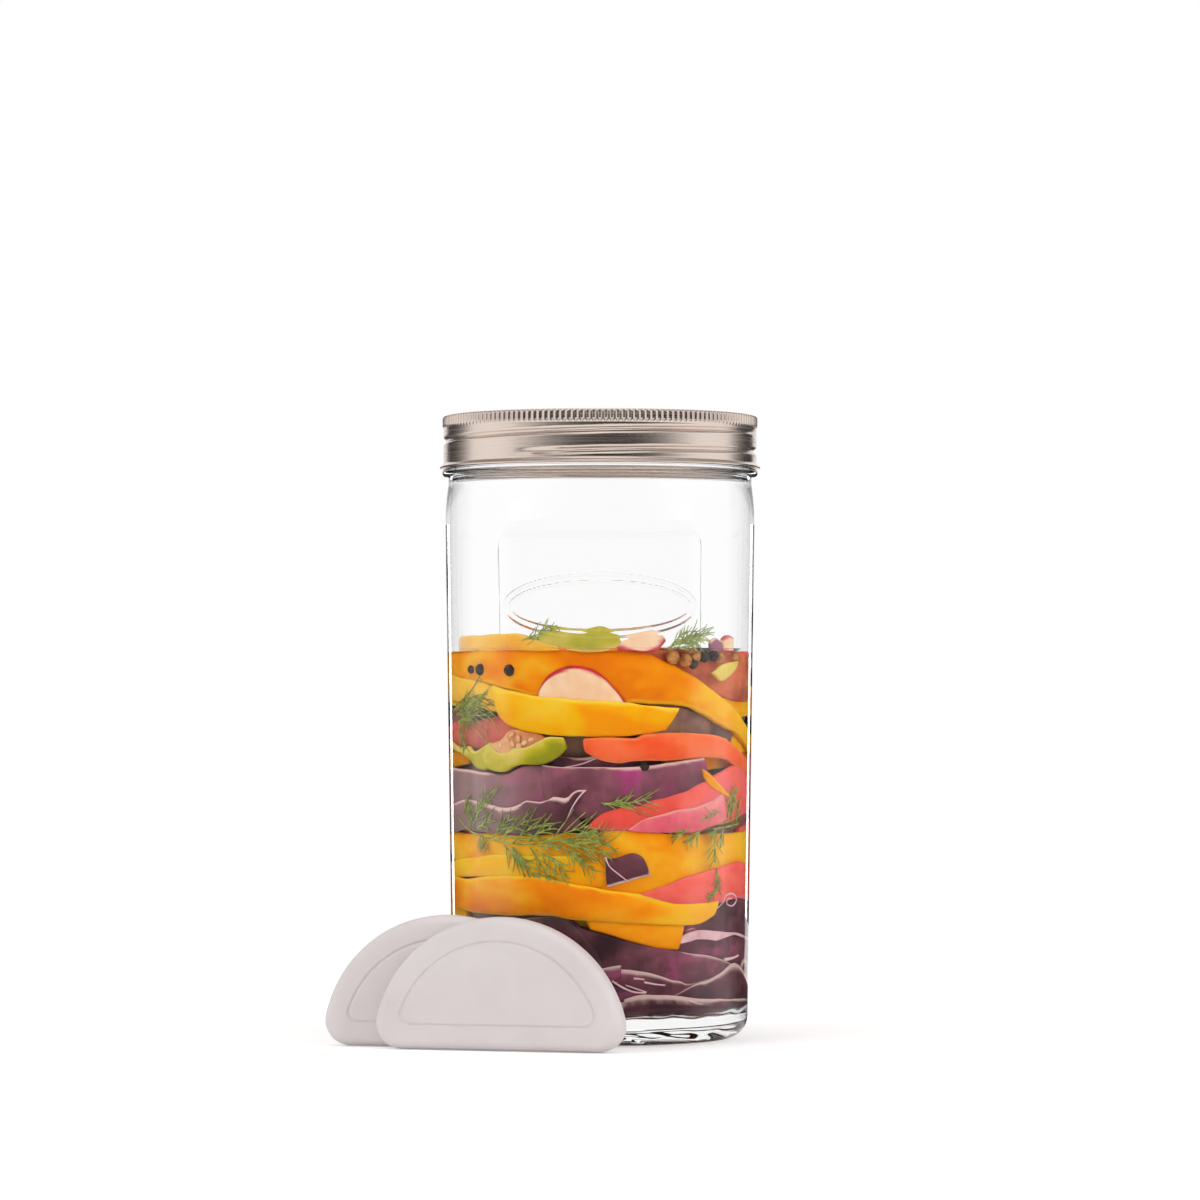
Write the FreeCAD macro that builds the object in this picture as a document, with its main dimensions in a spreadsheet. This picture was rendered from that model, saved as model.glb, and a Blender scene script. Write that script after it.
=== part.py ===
# Fermentation jar: a threaded glass jar, a two-piece steel lid with a one-way silicone airlock, the
# vegetable ferment packed inside it, and two half-moon ceramic weights that stand in front of it.
# Millimetres and degrees. The origin is on the table under the jar's axis, +Z is up, -Y is the front.
import FreeCAD, Part
import math
import os

import Sketcher
from FreeCAD import Placement, Rotation, Vector

# Driving sizes, one cell of the sheet each

SIZES = {
    # Glass jar, from the table up
    "foot_width": 2.2,
    "push_up": 3.5,
    "heel_radius": 7.0,
    "body_taper": 2.2,
    "body_proud": 1.4,
    "body_top_height": 157.0,
    "shoulder_height": 12.0,
    "groove_inset": 0.9,
    "groove_height": 2.5,
    "bead_proud": 2.5,
    "bead_height": 2.2,
    "neck_radius": 45.9,
    "neck_wall": 3.0,
    "neck_height": 14.3,
    "rim_round": 1.2,
    "mouth_depth": 13.0,
    "inner_shoulder_height": 4.0,
    "wall": 3.0,
    "floor_height": 8.0,
    "inner_corner": 7.0,
    # Screw thread shared by the jar and the band
    "thread_pitch": 6.0,
    "thread_flank_gap": 0.3,
    "jar_thread_crest": 1.3,
    "jar_thread_base": 3.0,
    "jar_thread_tip": 1.2,
    "jar_thread_turns": 1.35,
    "jar_thread_lead_angle": 150.0,
    "band_thread_depth": 0.9,
    "band_thread_base": 2.6,
    "band_thread_tip": 1.0,
    "band_groove_mouth": 2.0,
    "band_groove_tip": 0.5,
    "band_thread_turns": 1.35,
    "band_thread_start_angle": -110.0,
    "band_thread_rise": 3.4,
    "band_groove_runout_angle": 12.0,
    "thread_root": 0.25,
    # Screw band of thin steel sheet
    "sheet": 0.5,
    "skirt_gap": 0.25,
    "knurl_proud": 0.3,
    "knurl_height": 3.4,
    "knurl_round": 1.0,
    "flange_width": 9.45,
    "flare_proud": 1.15,
    "flare_height": 1.6,
    "flare_lip": 0.6,
    "band_lift": 0.3,
    # Lid disc and its seal
    "disc_thickness": 0.5,
    "disc_edge_gap": 1.15,
    "seal_thickness": 1.0,
    "seal_inset": 0.4,
    "seal_edge_gap": 0.3,
    # One-way airlock in the middle of the disc
    "port_radius": 9.0,
    "port_gap": 0.1,
    "seat_top_radius": 12.0,
    "seat_bevel": 0.5,
    "seat_top_thickness": 1.1,
    "seat_low_radius": 11.4,
    "seat_low_thickness": 1.2,
    "stem_hole_radius": 1.7,
    "vent_radius": 1.1,
    "vent_circle": 4.6,
    "flap_radius": 7.6,
    "flap_edge": 0.4,
    "flap_crown": 1.0,
    "stem_gap": 0.3,
    "bulb_proud": 1.1,
    "bulb_height": 2.2,
    "bulb_tip": 0.8,
    "valve_travel": 1.0,
    # Ceramic weights
    "weight_radius": 39.0,
    "weight_height": 39.2,
    "weight_corner": 7.5,
    "weight_thickness": 8.0,
    "weight_edge": 2.6,
    "weight_gap": 0.5,
    "weight_angle": 16.0,
    "front_weight_left": 13.7,
    "back_weight_left": 32.6,
    # Ferment packed in layers against the glass
    "brine_depth": 110.0,
    "core_cover": 2.2,
    "core_bevel": 2.0,
    "leaf_gap": 0.3,
    "leaf_thickness": 0.7,
    "layer_gap": 0.35,
    "strip_thickness": 3.4,
    "strip_bevel": 0.8,
    "peppercorn_radius": 1.8,
    # How far a cutting shape runs past what it cuts
    "overrun": 0.3,
}
VENT_COUNT = 6
FULL_TURN = 360

# Pieces of the ferment, each in a layer: a thin leaf or a strip on the glass, a strip tucked under a leaf, or
# one behind another strip. Middle is the azimuth from the front, positive to the right, and span the arc that
# it covers, in degrees. Low and tall are shares of the brine's depth, and tilt, in degrees, lifts its right end.
FERMENT_SHARES = [
    ("red_cabbage_bed_front", "glass", 0, 176, 0.050, 0.184, 0),
    ("red_cabbage_bed_back", "glass", 180, 176, 0.050, 0.184, 0),
    ("orange_pepper_strip_low", "glass", -8, 125, 0.262, 0.088, -2.5),
    ("orange_pepper_strip_under", "behind", 8, 50, 0.205, 0.075, -3),
    ("yellow_pepper_strip_low", "tucked", -35, 72, 0.376, 0.064, 0),
    ("red_pepper_strip_low", "glass", 48, 52, 0.356, 0.050, 2),
    ("orange_pepper_strip_mid", "tucked", 41, 72, 0.416, 0.080, 0),
    ("cabbage_scrap", "leaf", 11, 15, 0.370, 0.078, 0),
    ("dill_sprig_left", "leaf", -36, 58, 0.385, 0.190, 0),
    ("dill_sprig_right", "leaf", 54, 46, 0.475, 0.140, 0),
    ("orange_pepper_strip_left", "tucked", -38, 66, 0.446, 0.046, 0),
    ("red_cabbage_left", "tucked", -42, 62, 0.500, 0.156, 0),
    ("red_pepper_strip_mid", "tucked", 30, 70, 0.535, 0.060, 5),
    ("red_cabbage_right", "glass", 26, 66, 0.630, 0.055, 0),
    ("green_pepper_slice", "glass", -42, 54, 0.668, 0.076, 0),
    ("coral_pepper_strip", "glass", 33, 74, 0.692, 0.066, 0),
    ("yellow_pepper_strip_high", "glass", -7, 78, 0.776, 0.108, -2),
    ("amber_pepper_slice", "glass", -64, 28, 0.776, 0.086, 0),
    ("radish_slice", "glass", -8, 32, 0.900, 0.060, 0),
    ("red_pepper_chunk", "behind", -58, 34, 0.745, 0.060, 0),
    ("red_cabbage_shred", "behind", 52, 44, 0.750, 0.080, 0),
    ("orange_pepper_strip_high", "behind", 0, 150, 0.870, 0.095, -4),
    ("orange_pepper_floater", "glass", -51, 46, 0.985, 0.055, 0),
    ("red_pepper_floater", "behind", 50, 38, 0.955, 0.038, 0),
    ("green_pepper_floater", "glass", -8, 26, 0.972, 0.070, 0),
    ("radish_floater", "glass", 15, 14, 0.970, 0.075, 0),
    ("dill_floater", "leaf", 34, 22, 1.000, 0.070, 0),
    ("orange_pepper_strip_back_low", "glass", 178, 150, 0.262, 0.090, 2),
    ("red_cabbage_back", "glass", 180, 160, 0.385, 0.110, 0),
    ("yellow_pepper_strip_back", "glass", 172, 140, 0.525, 0.095, 2),
    ("green_pepper_slice_back", "glass", 142, 66, 0.655, 0.085, 0),
    ("red_pepper_strip_back", "glass", 216, 68, 0.655, 0.085, 0),
    ("orange_pepper_strip_back_high", "glass", 180, 150, 0.765, 0.095, 0),
    ("red_cabbage_back_high", "glass", 180, 140, 0.875, 0.090, 0),
]
# Azimuths of the peppercorns, and their heights as shares of the brine's depth
PEPPERCORN_SHARES = [
    (-62, 0.945),
    (-40, 0.945),
    (29, 0.972),
    (36, 0.968),
    (43, 0.974),
    (50, 0.970),
    (57, 0.966),
    (65, 0.972),
]


class Size:
    """A length or an angle, with the sheet expression that it comes from."""

    def __init__(self, value, text):
        self.value = float(value)
        self.text = text

    def joined(self, sign, other, value):
        other_text = other.text if isinstance(other, Size) else repr(float(other))
        return Size(value, f"({self.text} {sign} {other_text})")

    def __add__(self, other):
        return self.joined("+", other, self.value + number(other))

    def __sub__(self, other):
        return self.joined("-", other, self.value - number(other))

    def __mul__(self, other):
        return self.joined("*", other, self.value * number(other))

    def __truediv__(self, other):
        return self.joined("/", other, self.value / number(other))

    def __neg__(self):
        return Size(-self.value, f"(-1 * {self.text})")

    def root(self):
        return Size(math.sqrt(self.value), f"sqrt({self.text})")


def number(quantity):
    return quantity.value if isinstance(quantity, Size) else quantity


ZERO = Size(0, "0")
doc = FreeCAD.newDocument("fermentation_jar")
sheet = doc.addObject("Spreadsheet::Sheet", "Sizes")


def fill_sheet():
    for row, (alias, value) in enumerate(SIZES.items(), start=1):
        sheet.set(f"A{row}", alias)
        sheet.set(f"B{row}", str(value))
        sheet.setAlias(f"B{row}", alias)
    doc.recompute()


def size(alias):
    return Size(sheet.get(alias), f"Sizes.{alias}")


def bind(owner, prop, quantity):
    owner.setExpression(prop, quantity.text)


# Drawing helpers


def new_body(label):
    body = doc.addObject("PartDesign::Body", label)
    body.Label = label
    return body


def origin_plane(body, role):
    return next(f for f in body.Origin.OriginFeatures if f.Role == role)


def new_sketch(body, name, role):
    sketch = body.newObject("Sketcher::SketchObject", name)
    sketch.AttachmentSupport = [(origin_plane(body, role), "")]
    sketch.MapMode = "FlatFace"
    return sketch


def add_bound(sketch, constraint, quantity):
    place = sketch.addConstraint(constraint)
    bind(sketch, f"Constraints[{place}]", quantity)


def arc_between(start, end, radius, centre_on_left):
    """The short arc from start to end, as the sketcher's counter-clockwise geometry."""
    chord = end - start
    side = Vector(-chord.y, chord.x, 0).normalize() * (1 if centre_on_left else -1)
    half = chord.Length / 2
    centre = start + chord * 0.5 + side * math.sqrt(max(radius**2 - half**2, 0))
    first, last = (start, end) if centre_on_left else (end, start)
    angles = [math.atan2(p.y - centre.y, p.x - centre.x) for p in (first, last)]
    circle = Part.Circle(centre, Vector(0, 0, 1), radius)
    return Part.ArcOfCircle(circle, *angles)


def draw_outline(sketch, corners, arcs):
    """A closed outline whose corners and arc radii are bound to the sheet.

    arcs maps a segment's number to (radius, True if its centre lies left of the way round)."""
    points = [Vector(x.value, y.value, 0) for x, y in corners]
    ends = []
    for i, start in enumerate(points):
        end = points[(i + 1) % len(points)]
        if i in arcs:
            radius, on_left = arcs[i]
            sketch.addGeometry(arc_between(start, end, radius.value, on_left))
            ends.append((1, 2) if on_left else (2, 1))
        else:
            sketch.addGeometry(Part.LineSegment(start, end))
            ends.append((1, 2))
    for i in range(len(points)):
        after = (i + 1) % len(points)
        sketch.addConstraint(Sketcher.Constraint("Coincident", i, ends[i][1], after, ends[after][0]))
    for i, (x, y) in enumerate(corners):
        for kind, quantity, axis in (("DistanceX", x, -2), ("DistanceY", y, -1)):
            if quantity is ZERO:
                sketch.addConstraint(Sketcher.Constraint("PointOnObject", i, ends[i][0], axis))
            else:
                place = Sketcher.Constraint(kind, -1, 1, i, ends[i][0], quantity.value)
                add_bound(sketch, place, quantity)
    for i, (radius, _) in arcs.items():
        add_bound(sketch, Sketcher.Constraint("Radius", i, radius.value), radius)


def profile(body, name, corners, arcs=None):
    """An outline on the body's XZ plane: first numbers are radii, second ones heights."""
    sketch = new_sketch(body, name, "XZ_Plane")
    draw_outline(sketch, corners, arcs or {})
    return sketch


def revolve(body, sketch, span=FULL_TURN):
    feature = body.newObject("PartDesign::Revolution", f"{body.Label}_revolution")
    feature.Profile = sketch
    feature.ReferenceAxis = (sketch, ["V_Axis"])
    feature.Angle = span
    feature.Midplane = span < FULL_TURN
    return feature


def helix(body, kind, name, corners, height, turned=ZERO):
    """A helical ridge or groove of the thread's pitch, begun at the azimuth that turned gives."""
    sketch = profile(body, f"{name}_section", corners)
    sketch.AttachmentOffset = Placement(Vector(), Rotation(Vector(0, 1, 0), turned.value))
    bind(sketch, "AttachmentOffset.Rotation.Angle", turned)
    feature = body.newObject(f"PartDesign::{kind}", name)
    feature.Profile = sketch
    feature.ReferenceAxis = (sketch, ["V_Axis"])
    feature.Mode = "pitch-height-angle"
    bind(feature, "Pitch", size("thread_pitch"))
    bind(feature, "Height", height)
    return feature


def ridge_section(root_radius, crest_radius, middle, base, tip):
    return [
        (root_radius, middle - base / 2),
        (crest_radius, middle - tip / 2),
        (crest_radius, middle + tip / 2),
        (root_radius, middle + base / 2),
    ]


# Heights and radii that several pieces share


def body_top_radius():
    return size("neck_radius") + size("body_proud")


def body_foot_radius():
    return body_top_radius() - size("body_taper")


def groove_radius():
    return body_top_radius() - size("groove_inset")


def bead_radius():
    return size("neck_radius") + size("bead_proud")


def mouth_radius():
    return size("neck_radius") - size("neck_wall")


def skirt_inside():
    return size("neck_radius") + size("jar_thread_crest") + size("skirt_gap")


def skirt_radius():
    return skirt_inside() + size("sheet")


def disc_radius():
    return skirt_inside() - size("disc_edge_gap")


def disc_underside():
    return rim_height() + size("seal_thickness")


def disc_top():
    return disc_underside() + size("disc_thickness")


def shoulder_top():
    return size("body_top_height") + size("shoulder_height")


def bead_low():
    return shoulder_top() + size("groove_height")


def bead_top():
    return bead_low() + size("bead_height")


def rim_height():
    return bead_top() + size("neck_height")


def band_low():
    return bead_top() + size("band_lift")


def band_thread_middle():
    """Height of the band's thread where it begins."""
    return band_low() + size("band_thread_rise")


def brine_level():
    return size("floor_height") + size("brine_depth")


def glass_inside(height):
    """Radius of the jar's inner wall at a height on its tapered stretch."""
    foot = body_foot_radius() - size("wall")
    start = size("floor_height") + size("inner_corner")
    return foot + size("body_taper") * (height - start) / (size("body_top_height") - start)


# Glass jar


def make_jar():
    jar = new_body("glass_jar")
    heel = size("heel_radius")
    foot_outer = body_foot_radius() - heel
    foot_inner = foot_outer - size("foot_width")
    push_up = size("push_up")
    dome = (foot_inner * foot_inner + push_up * push_up) / (push_up * 2)
    body_top = body_top_radius()
    top_height = size("body_top_height")
    bead_half = size("bead_height") / 2
    bead_inset = bead_radius() - bead_half
    shoulder_drop = body_top - groove_radius()
    shoulder_rise = size("shoulder_height")
    shoulder = (shoulder_drop * shoulder_drop + shoulder_rise * shoulder_rise) / (shoulder_drop * 2)
    neck = size("neck_radius")
    rim = rim_height()
    round_off = size("rim_round")
    mouth = mouth_radius()
    mouth_low = rim - size("mouth_depth")
    inside_top = body_top - size("wall")
    inside_foot = body_foot_radius() - size("wall")
    step_in = inside_top - mouth
    step_up = size("inner_shoulder_height")
    inner_shoulder = (step_in * step_in + step_up * step_up) / (step_in * 2)
    floor = size("floor_height")
    corner = size("inner_corner")
    corners = [
        (ZERO, push_up),
        (foot_inner, ZERO),
        (foot_outer, ZERO),
        (body_foot_radius(), heel),
        (body_top, top_height),
        (groove_radius(), shoulder_top()),
        (groove_radius(), bead_low()),
        (bead_inset, bead_low()),
        (bead_radius(), bead_low() + bead_half),
        (bead_inset, bead_top()),
        (neck, bead_top()),
        (neck, rim - round_off),
        (neck - round_off, rim),
        (mouth + round_off, rim),
        (mouth, rim - round_off),
        (mouth, mouth_low),
        (inside_top, mouth_low - step_up),
        (inside_top, top_height),
        (inside_foot, floor + corner),
        (inside_foot - corner, floor),
        (ZERO, floor),
    ]
    arcs = {
        0: (dome, False),
        2: (heel, True),
        4: (shoulder, True),
        7: (bead_half, True),
        8: (bead_half, True),
        11: (round_off, True),
        13: (round_off, True),
        15: (inner_shoulder, False),
        18: (corner, False),
    }
    revolve(jar, profile(jar, "jar_section", corners, arcs))
    pitch = size("thread_pitch")
    middle = band_thread_middle() + mean_thread_width() + size("thread_flank_gap")
    section = ridge_section(
        neck - size("thread_root"),
        neck + size("jar_thread_crest"),
        middle - pitch * size("jar_thread_lead_angle") / FULL_TURN,
        size("jar_thread_base"),
        size("jar_thread_tip"),
    )
    helix(jar, "AdditiveHelix", "jar_thread", section, pitch * size("jar_thread_turns"))
    start = size("band_thread_start_angle") - size("jar_thread_lead_angle")
    turn_about_axis(jar, start)
    return jar


def mean_thread_width():
    """Rise from the middle of the band's ridge to that of the jar's ridge resting on it."""
    base = size("jar_thread_base") + size("band_thread_base")
    tip = size("jar_thread_tip") + size("band_thread_tip")
    return (base + tip) / 4


def turn_about_axis(body, azimuth):
    body.Placement = Placement(Vector(), Rotation(Vector(0, 0, 1), azimuth.value))
    bind(body, "Placement.Rotation.Angle", azimuth)


# Two-piece lid and airlock


def make_band():
    band = new_body("screw_band")
    thick = size("sheet")
    skirt = skirt_radius()
    flange = skirt - size("flange_width")
    knurl = skirt + size("knurl_proud")
    round_off = size("knurl_round")
    top = disc_top() + thick
    knurl_low = top - size("knurl_height")
    low = band_low()
    flare = skirt + size("flare_proud")
    flare_top = low + size("flare_height")
    corners = [
        (flange, disc_top()),
        (skirt - thick, disc_top()),
        (skirt - thick, flare_top),
        (flare - thick, low),
        (flare, low),
        (flare, low + size("flare_lip")),
        (skirt, flare_top),
        (skirt, knurl_low - size("knurl_proud")),
        (knurl, knurl_low),
        (knurl, top - round_off),
        (knurl - round_off, top),
        (flange, top),
    ]
    revolve(band, profile(band, "band_section", corners, {9: (round_off, True)}))
    pitch = size("thread_pitch")
    height = pitch * size("band_thread_turns")
    depth = size("band_thread_depth")
    middle = band_thread_middle()
    ridge = ridge_section(
        skirt - thick + size("thread_root"),
        skirt - thick - depth,
        middle,
        size("band_thread_base"),
        size("band_thread_tip"),
    )
    helix(band, "AdditiveHelix", "band_thread", ridge, height)
    runout = size("band_groove_runout_angle")
    shift = pitch * runout / FULL_TURN
    groove = ridge_section(
        skirt + size("overrun"),
        skirt - depth,
        middle + shift,
        size("band_groove_mouth"),
        size("band_groove_tip"),
    )
    helix(band, "SubtractiveHelix", "band_groove", groove, height - shift * 2, runout)
    turn_about_axis(band, size("band_thread_start_angle"))
    return band


def make_disc():
    disc = new_body("lid_disc")
    corners = ring(size("port_radius"), disc_radius(), disc_underside(), disc_top())
    revolve(disc, profile(disc, "disc_section", corners))
    return disc


def make_seal():
    seal = new_body("rim_seal")
    inner = mouth_radius() + size("seal_inset")
    outer = disc_radius() - size("seal_edge_gap")
    corners = ring(inner, outer, rim_height(), disc_underside())
    revolve(seal, profile(seal, "seal_section", corners))
    return seal


def ring(inner, outer, low, high):
    return [(inner, low), (outer, low), (outer, high), (inner, high)]


def seat_low():
    return disc_underside() - size("seat_low_thickness")


def seat_top():
    return disc_top() + size("seat_top_thickness")


def make_valve_seat():
    seat = new_body("airlock_seat")
    hole = size("stem_hole_radius")
    waist = size("port_radius") - size("port_gap")
    corners = [
        (hole, seat_low()),
        (size("seat_low_radius") - size("seat_bevel"), seat_low()),
        (size("seat_low_radius"), seat_low() + size("seat_bevel")),
        (size("seat_low_radius"), disc_underside()),
        (waist, disc_underside()),
        (waist, disc_top()),
        (size("seat_top_radius"), disc_top()),
        (size("seat_top_radius"), seat_top() - size("seat_bevel")),
        (size("seat_top_radius") - size("seat_bevel"), seat_top()),
        (hole, seat_top()),
    ]
    revolve(seat, profile(seat, "seat_section", corners))
    vents = new_sketch(seat, "vent_circle_sketch", "XY_Plane")
    centre = Vector(size("vent_circle").value, 0, 0)
    vents.addGeometry(Part.Circle(centre, Vector(0, 0, 1), size("vent_radius").value))
    vents.addConstraint(Sketcher.Constraint("PointOnObject", 0, 3, -1))
    across = Sketcher.Constraint("DistanceX", -1, 1, 0, 3, size("vent_circle").value)
    add_bound(vents, across, size("vent_circle"))
    add_bound(vents, Sketcher.Constraint("Radius", 0, size("vent_radius").value), size("vent_radius"))
    doc.recompute()
    pocket = seat.newObject("PartDesign::Pocket", "vent")
    pocket.Profile = vents
    pocket.Type = "ThroughAll"
    pocket.Reversed = True
    pattern = seat.newObject("PartDesign::PolarPattern", "vent_ring")
    pattern.Originals = [pocket]
    pattern.Axis = (vents, ["N_Axis"])
    pattern.Angle = FULL_TURN
    pattern.Occurrences = VENT_COUNT
    seat.Tip = pattern
    return seat


def make_valve_flap():
    flap = new_body("airlock_flap")
    stem = size("stem_hole_radius") - size("stem_gap")
    bulb = size("stem_hole_radius") + size("bulb_proud")
    bulb_top = seat_low() - size("valve_travel") - size("stem_gap")
    bulb_low = bulb_top - size("bulb_height")
    crown = size("flap_crown") - size("flap_edge")
    radius = size("flap_radius")
    dome = (radius * radius + crown * crown) / (crown * 2)
    corners = [
        (ZERO, bulb_low),
        (size("bulb_tip"), bulb_low),
        (bulb, bulb_top),
        (stem, bulb_top),
        (stem, seat_top()),
        (radius, seat_top()),
        (radius, seat_top() + size("flap_edge")),
        (ZERO, seat_top() + size("flap_crown")),
    ]
    revolve(flap, profile(flap, "flap_section", corners, {6: (dome, True)}))
    return flap


# Ceramic weights


def make_weight(label, clear_of_axis, left):
    """A half-moon slab standing on its flat edge, turned to face the front left.

    clear_of_axis is how far its back face lies from the jar's axis, and left how far it is moved along."""
    weight = new_body(label)
    radius = size("weight_radius")
    corner = size("weight_corner")
    centre = size("weight_height") - radius
    reach = radius - corner
    drop = corner - centre
    across = (reach * reach - drop * drop).root()
    touch_x = across * radius / reach
    touch_z = centre + drop * radius / reach
    corners = [
        (-across, ZERO),
        (across, ZERO),
        (touch_x, touch_z),
        (-touch_x, touch_z),
    ]
    arcs = {1: (corner, True), 2: (radius, True), 3: (corner, True)}
    outline = profile(weight, f"{label}_outline", corners, arcs)
    slab = weight.newObject("PartDesign::Pad", f"{label}_slab")
    slab.Profile = outline
    bind(slab, "Length", size("weight_thickness"))
    doc.recompute()
    rounded = weight.newObject("PartDesign::Fillet", f"{label}_rounded")
    rounded.Base = (slab, face_edges(slab.Shape))
    bind(rounded, "Radius", size("weight_edge"))
    turn = size("weight_angle")
    angle = math.radians(turn.value)
    weight.Placement = Placement(
        Vector(-math.sin(angle), -math.cos(angle), 0) * clear_of_axis.value
        - Vector(math.cos(angle), -math.sin(angle), 0) * left.value,
        Rotation(Vector(0, 0, 1), -turn.value),
    )
    sine, cosine = f"sin({turn.text} * 1 deg)", f"cos({turn.text} * 1 deg)"
    away, aside = clear_of_axis.text, left.text
    weight.setExpression("Placement.Base.x", f"-1 * {away} * {sine} - {aside} * {cosine}")
    weight.setExpression("Placement.Base.y", f"-1 * {away} * {cosine} + {aside} * {sine}")
    bind(weight, "Placement.Rotation.Angle", -turn)
    return weight


def face_edges(shape):
    """Names of the edges round the slab's two flat faces, which lie across Y."""
    names = []
    for i, edge in enumerate(shape.Edges, start=1):
        box = edge.BoundBox
        if box.YLength < box.DiagonalLength / 1000:
            names.append(f"Edge{i}")
    return names


def make_weights():
    taper = size("body_taper") * (size("weight_height") / size("body_top_height"))
    back = body_foot_radius() + taper + size("weight_gap")
    front = back + size("weight_thickness") + size("weight_gap")
    return [
        make_weight("ceramic_weight_front", front, size("front_weight_left")),
        make_weight("ceramic_weight_back", back, size("back_weight_left")),
    ]


# Ferment


def layer_radii(layer, wall):
    """Inner and outer radius of one layer of the ferment, inside a wall of this radius."""
    outer = wall - size("leaf_gap")
    if layer == "leaf":
        return outer - size("leaf_thickness"), outer
    if layer == "tucked":
        outer = outer - size("leaf_thickness") - size("layer_gap")
    if layer == "behind":
        outer = outer - size("strip_thickness") - size("layer_gap")
    return outer - size("strip_thickness"), outer


def make_piece(label, layer, middle, span, low_share, tall_share, tilt):
    """A curved strip that follows the glass, leaning in its own tangent plane."""
    piece = new_body(label)
    low = size("floor_height") + size("brine_depth") * low_share
    tall = size("brine_depth") * tall_share
    half = math.radians(min(span / 2, 90))
    droop = mouth_radius() * (math.sin(half) * math.sin(math.radians(abs(tilt))))
    inner, outer = layer_radii(layer, glass_inside(low - droop))
    bevel = (outer - inner) * (size("strip_bevel") / size("strip_thickness"))
    corners = [
        (inner + bevel, ZERO),
        (outer - bevel, ZERO),
        (outer, bevel),
        (outer, tall - bevel),
        (outer - bevel, tall),
        (inner + bevel, tall),
        (inner, tall - bevel),
        (inner, bevel),
    ]
    revolve(piece, profile(piece, f"{label}_section", corners), span)
    piece.Placement = Placement(Vector(0, 0, low.value), Rotation(middle - 90, 0, tilt))
    bind(piece, "Placement.Base.z", low)
    return piece


def core_radius():
    inner, _ = layer_radii("behind", glass_inside(size("floor_height")))
    return inner - size("layer_gap")


def core_top():
    return brine_level() - size("core_cover")


def make_core():
    """The vegetables packed inside the ring of pieces that shows at the glass."""
    core = new_body("packed_core")
    low = size("floor_height") + size("leaf_gap")
    bevel = size("core_bevel")
    corners = [
        (ZERO, low),
        (core_radius(), low),
        (core_radius(), core_top() - bevel),
        (core_radius() - bevel, core_top()),
        (ZERO, core_top()),
    ]
    revolve(core, profile(core, "core_section", corners))
    return core


def make_brine():
    """The brine that covers the packed vegetables."""
    brine = new_body("brine")
    low = core_top() + size("layer_gap")
    corners = [(ZERO, low), (core_radius(), low), (core_radius(), brine_level()), (ZERO, brine_level())]
    revolve(brine, profile(brine, "brine_section", corners))
    return brine


def make_peppercorns():
    corns = []
    for i, (azimuth, share) in enumerate(PEPPERCORN_SHARES):
        corn = doc.addObject("Part::Sphere", f"peppercorn_{i}")
        bind(corn, "Radius", size("peppercorn_radius"))
        height = size("floor_height") + size("brine_depth") * share
        away = glass_inside(height) - size("leaf_gap") - size("peppercorn_radius")
        angle = math.radians(azimuth)
        bind(corn, "Placement.Base.x", away * math.sin(angle))
        bind(corn, "Placement.Base.y", away * -math.cos(angle))
        bind(corn, "Placement.Base.z", height)
        corns.append(corn)
    group = doc.addObject("Part::Compound", "peppercorns")
    group.Label = "peppercorns"
    group.Links = corns
    return group


def make_ferment():
    return [make_core(), make_brine(), make_peppercorns()] + [make_piece(*row) for row in FERMENT_SHARES]


# Build, test and write


def check(pieces):
    for thing in doc.Objects:
        if "Invalid" in thing.State or "Error" in thing.State:
            raise RuntimeError(f"{thing.Label} failed: {thing.State}")
    for piece in pieces:
        if piece.Shape.isNull() or not piece.Shape.isValid() or piece.Shape.Volume <= 0:
            raise RuntimeError(f"{piece.Label} has no valid solid")


def write(pieces):
    os.makedirs("parts", exist_ok=True)
    for piece in pieces:
        piece.Shape.exportStep(os.path.join("parts", f"{piece.Label}.step"))
        print(f"{piece.Label}: {len(piece.Shape.Solids)} solid, {piece.Shape.Volume:.1f} mm3")


fill_sheet()
sub_parts = [make_jar(), make_band(), make_disc(), make_seal(), make_valve_seat(), make_valve_flap()]
sub_parts += make_weights()
sub_parts += make_ferment()
doc.recompute()
check(sub_parts)
write(sub_parts)
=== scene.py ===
"""Looks of a one-litre fermentation jar: glass, airlock lid, packed vegetables and two ceramic weights.

Lengths are in millimetres until a mesh is made, and azimuths are degrees to the right of the front."""

import math
import random

import bmesh
import bpy
from mathutils import Matrix, Vector, noise


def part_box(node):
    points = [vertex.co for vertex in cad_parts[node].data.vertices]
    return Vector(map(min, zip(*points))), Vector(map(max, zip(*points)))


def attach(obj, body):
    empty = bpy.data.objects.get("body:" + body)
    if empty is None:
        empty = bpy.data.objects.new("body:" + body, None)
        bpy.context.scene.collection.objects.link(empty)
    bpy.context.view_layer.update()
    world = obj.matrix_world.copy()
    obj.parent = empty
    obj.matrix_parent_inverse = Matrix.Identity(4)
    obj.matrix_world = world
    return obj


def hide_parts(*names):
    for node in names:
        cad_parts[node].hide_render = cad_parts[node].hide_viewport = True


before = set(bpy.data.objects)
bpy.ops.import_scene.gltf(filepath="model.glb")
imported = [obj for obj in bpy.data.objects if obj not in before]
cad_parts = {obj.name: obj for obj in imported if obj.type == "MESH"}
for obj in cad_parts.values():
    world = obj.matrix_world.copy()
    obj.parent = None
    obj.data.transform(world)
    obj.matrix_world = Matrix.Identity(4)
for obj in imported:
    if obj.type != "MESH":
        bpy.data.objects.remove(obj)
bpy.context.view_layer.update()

MM = 0.001

# Camera, and how the photo's pixels lie on the inside of the glass

CAMERA_PLACE = Vector((0, -1.5, 0.1062))
CAMERA_AIM = Vector((0, 0, 0.1338))
CAMERA_LENS = 146.88
CAMERA_HEIGHT = CAMERA_PLACE.z / MM
AXIS_PX = 599.5
HALF_WIDTH_PX = 154
LEVEL_PX = 690
PX_PER_MM = 3.363
INSIDE_STRETCH = 1.04

# Glass jar

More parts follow.
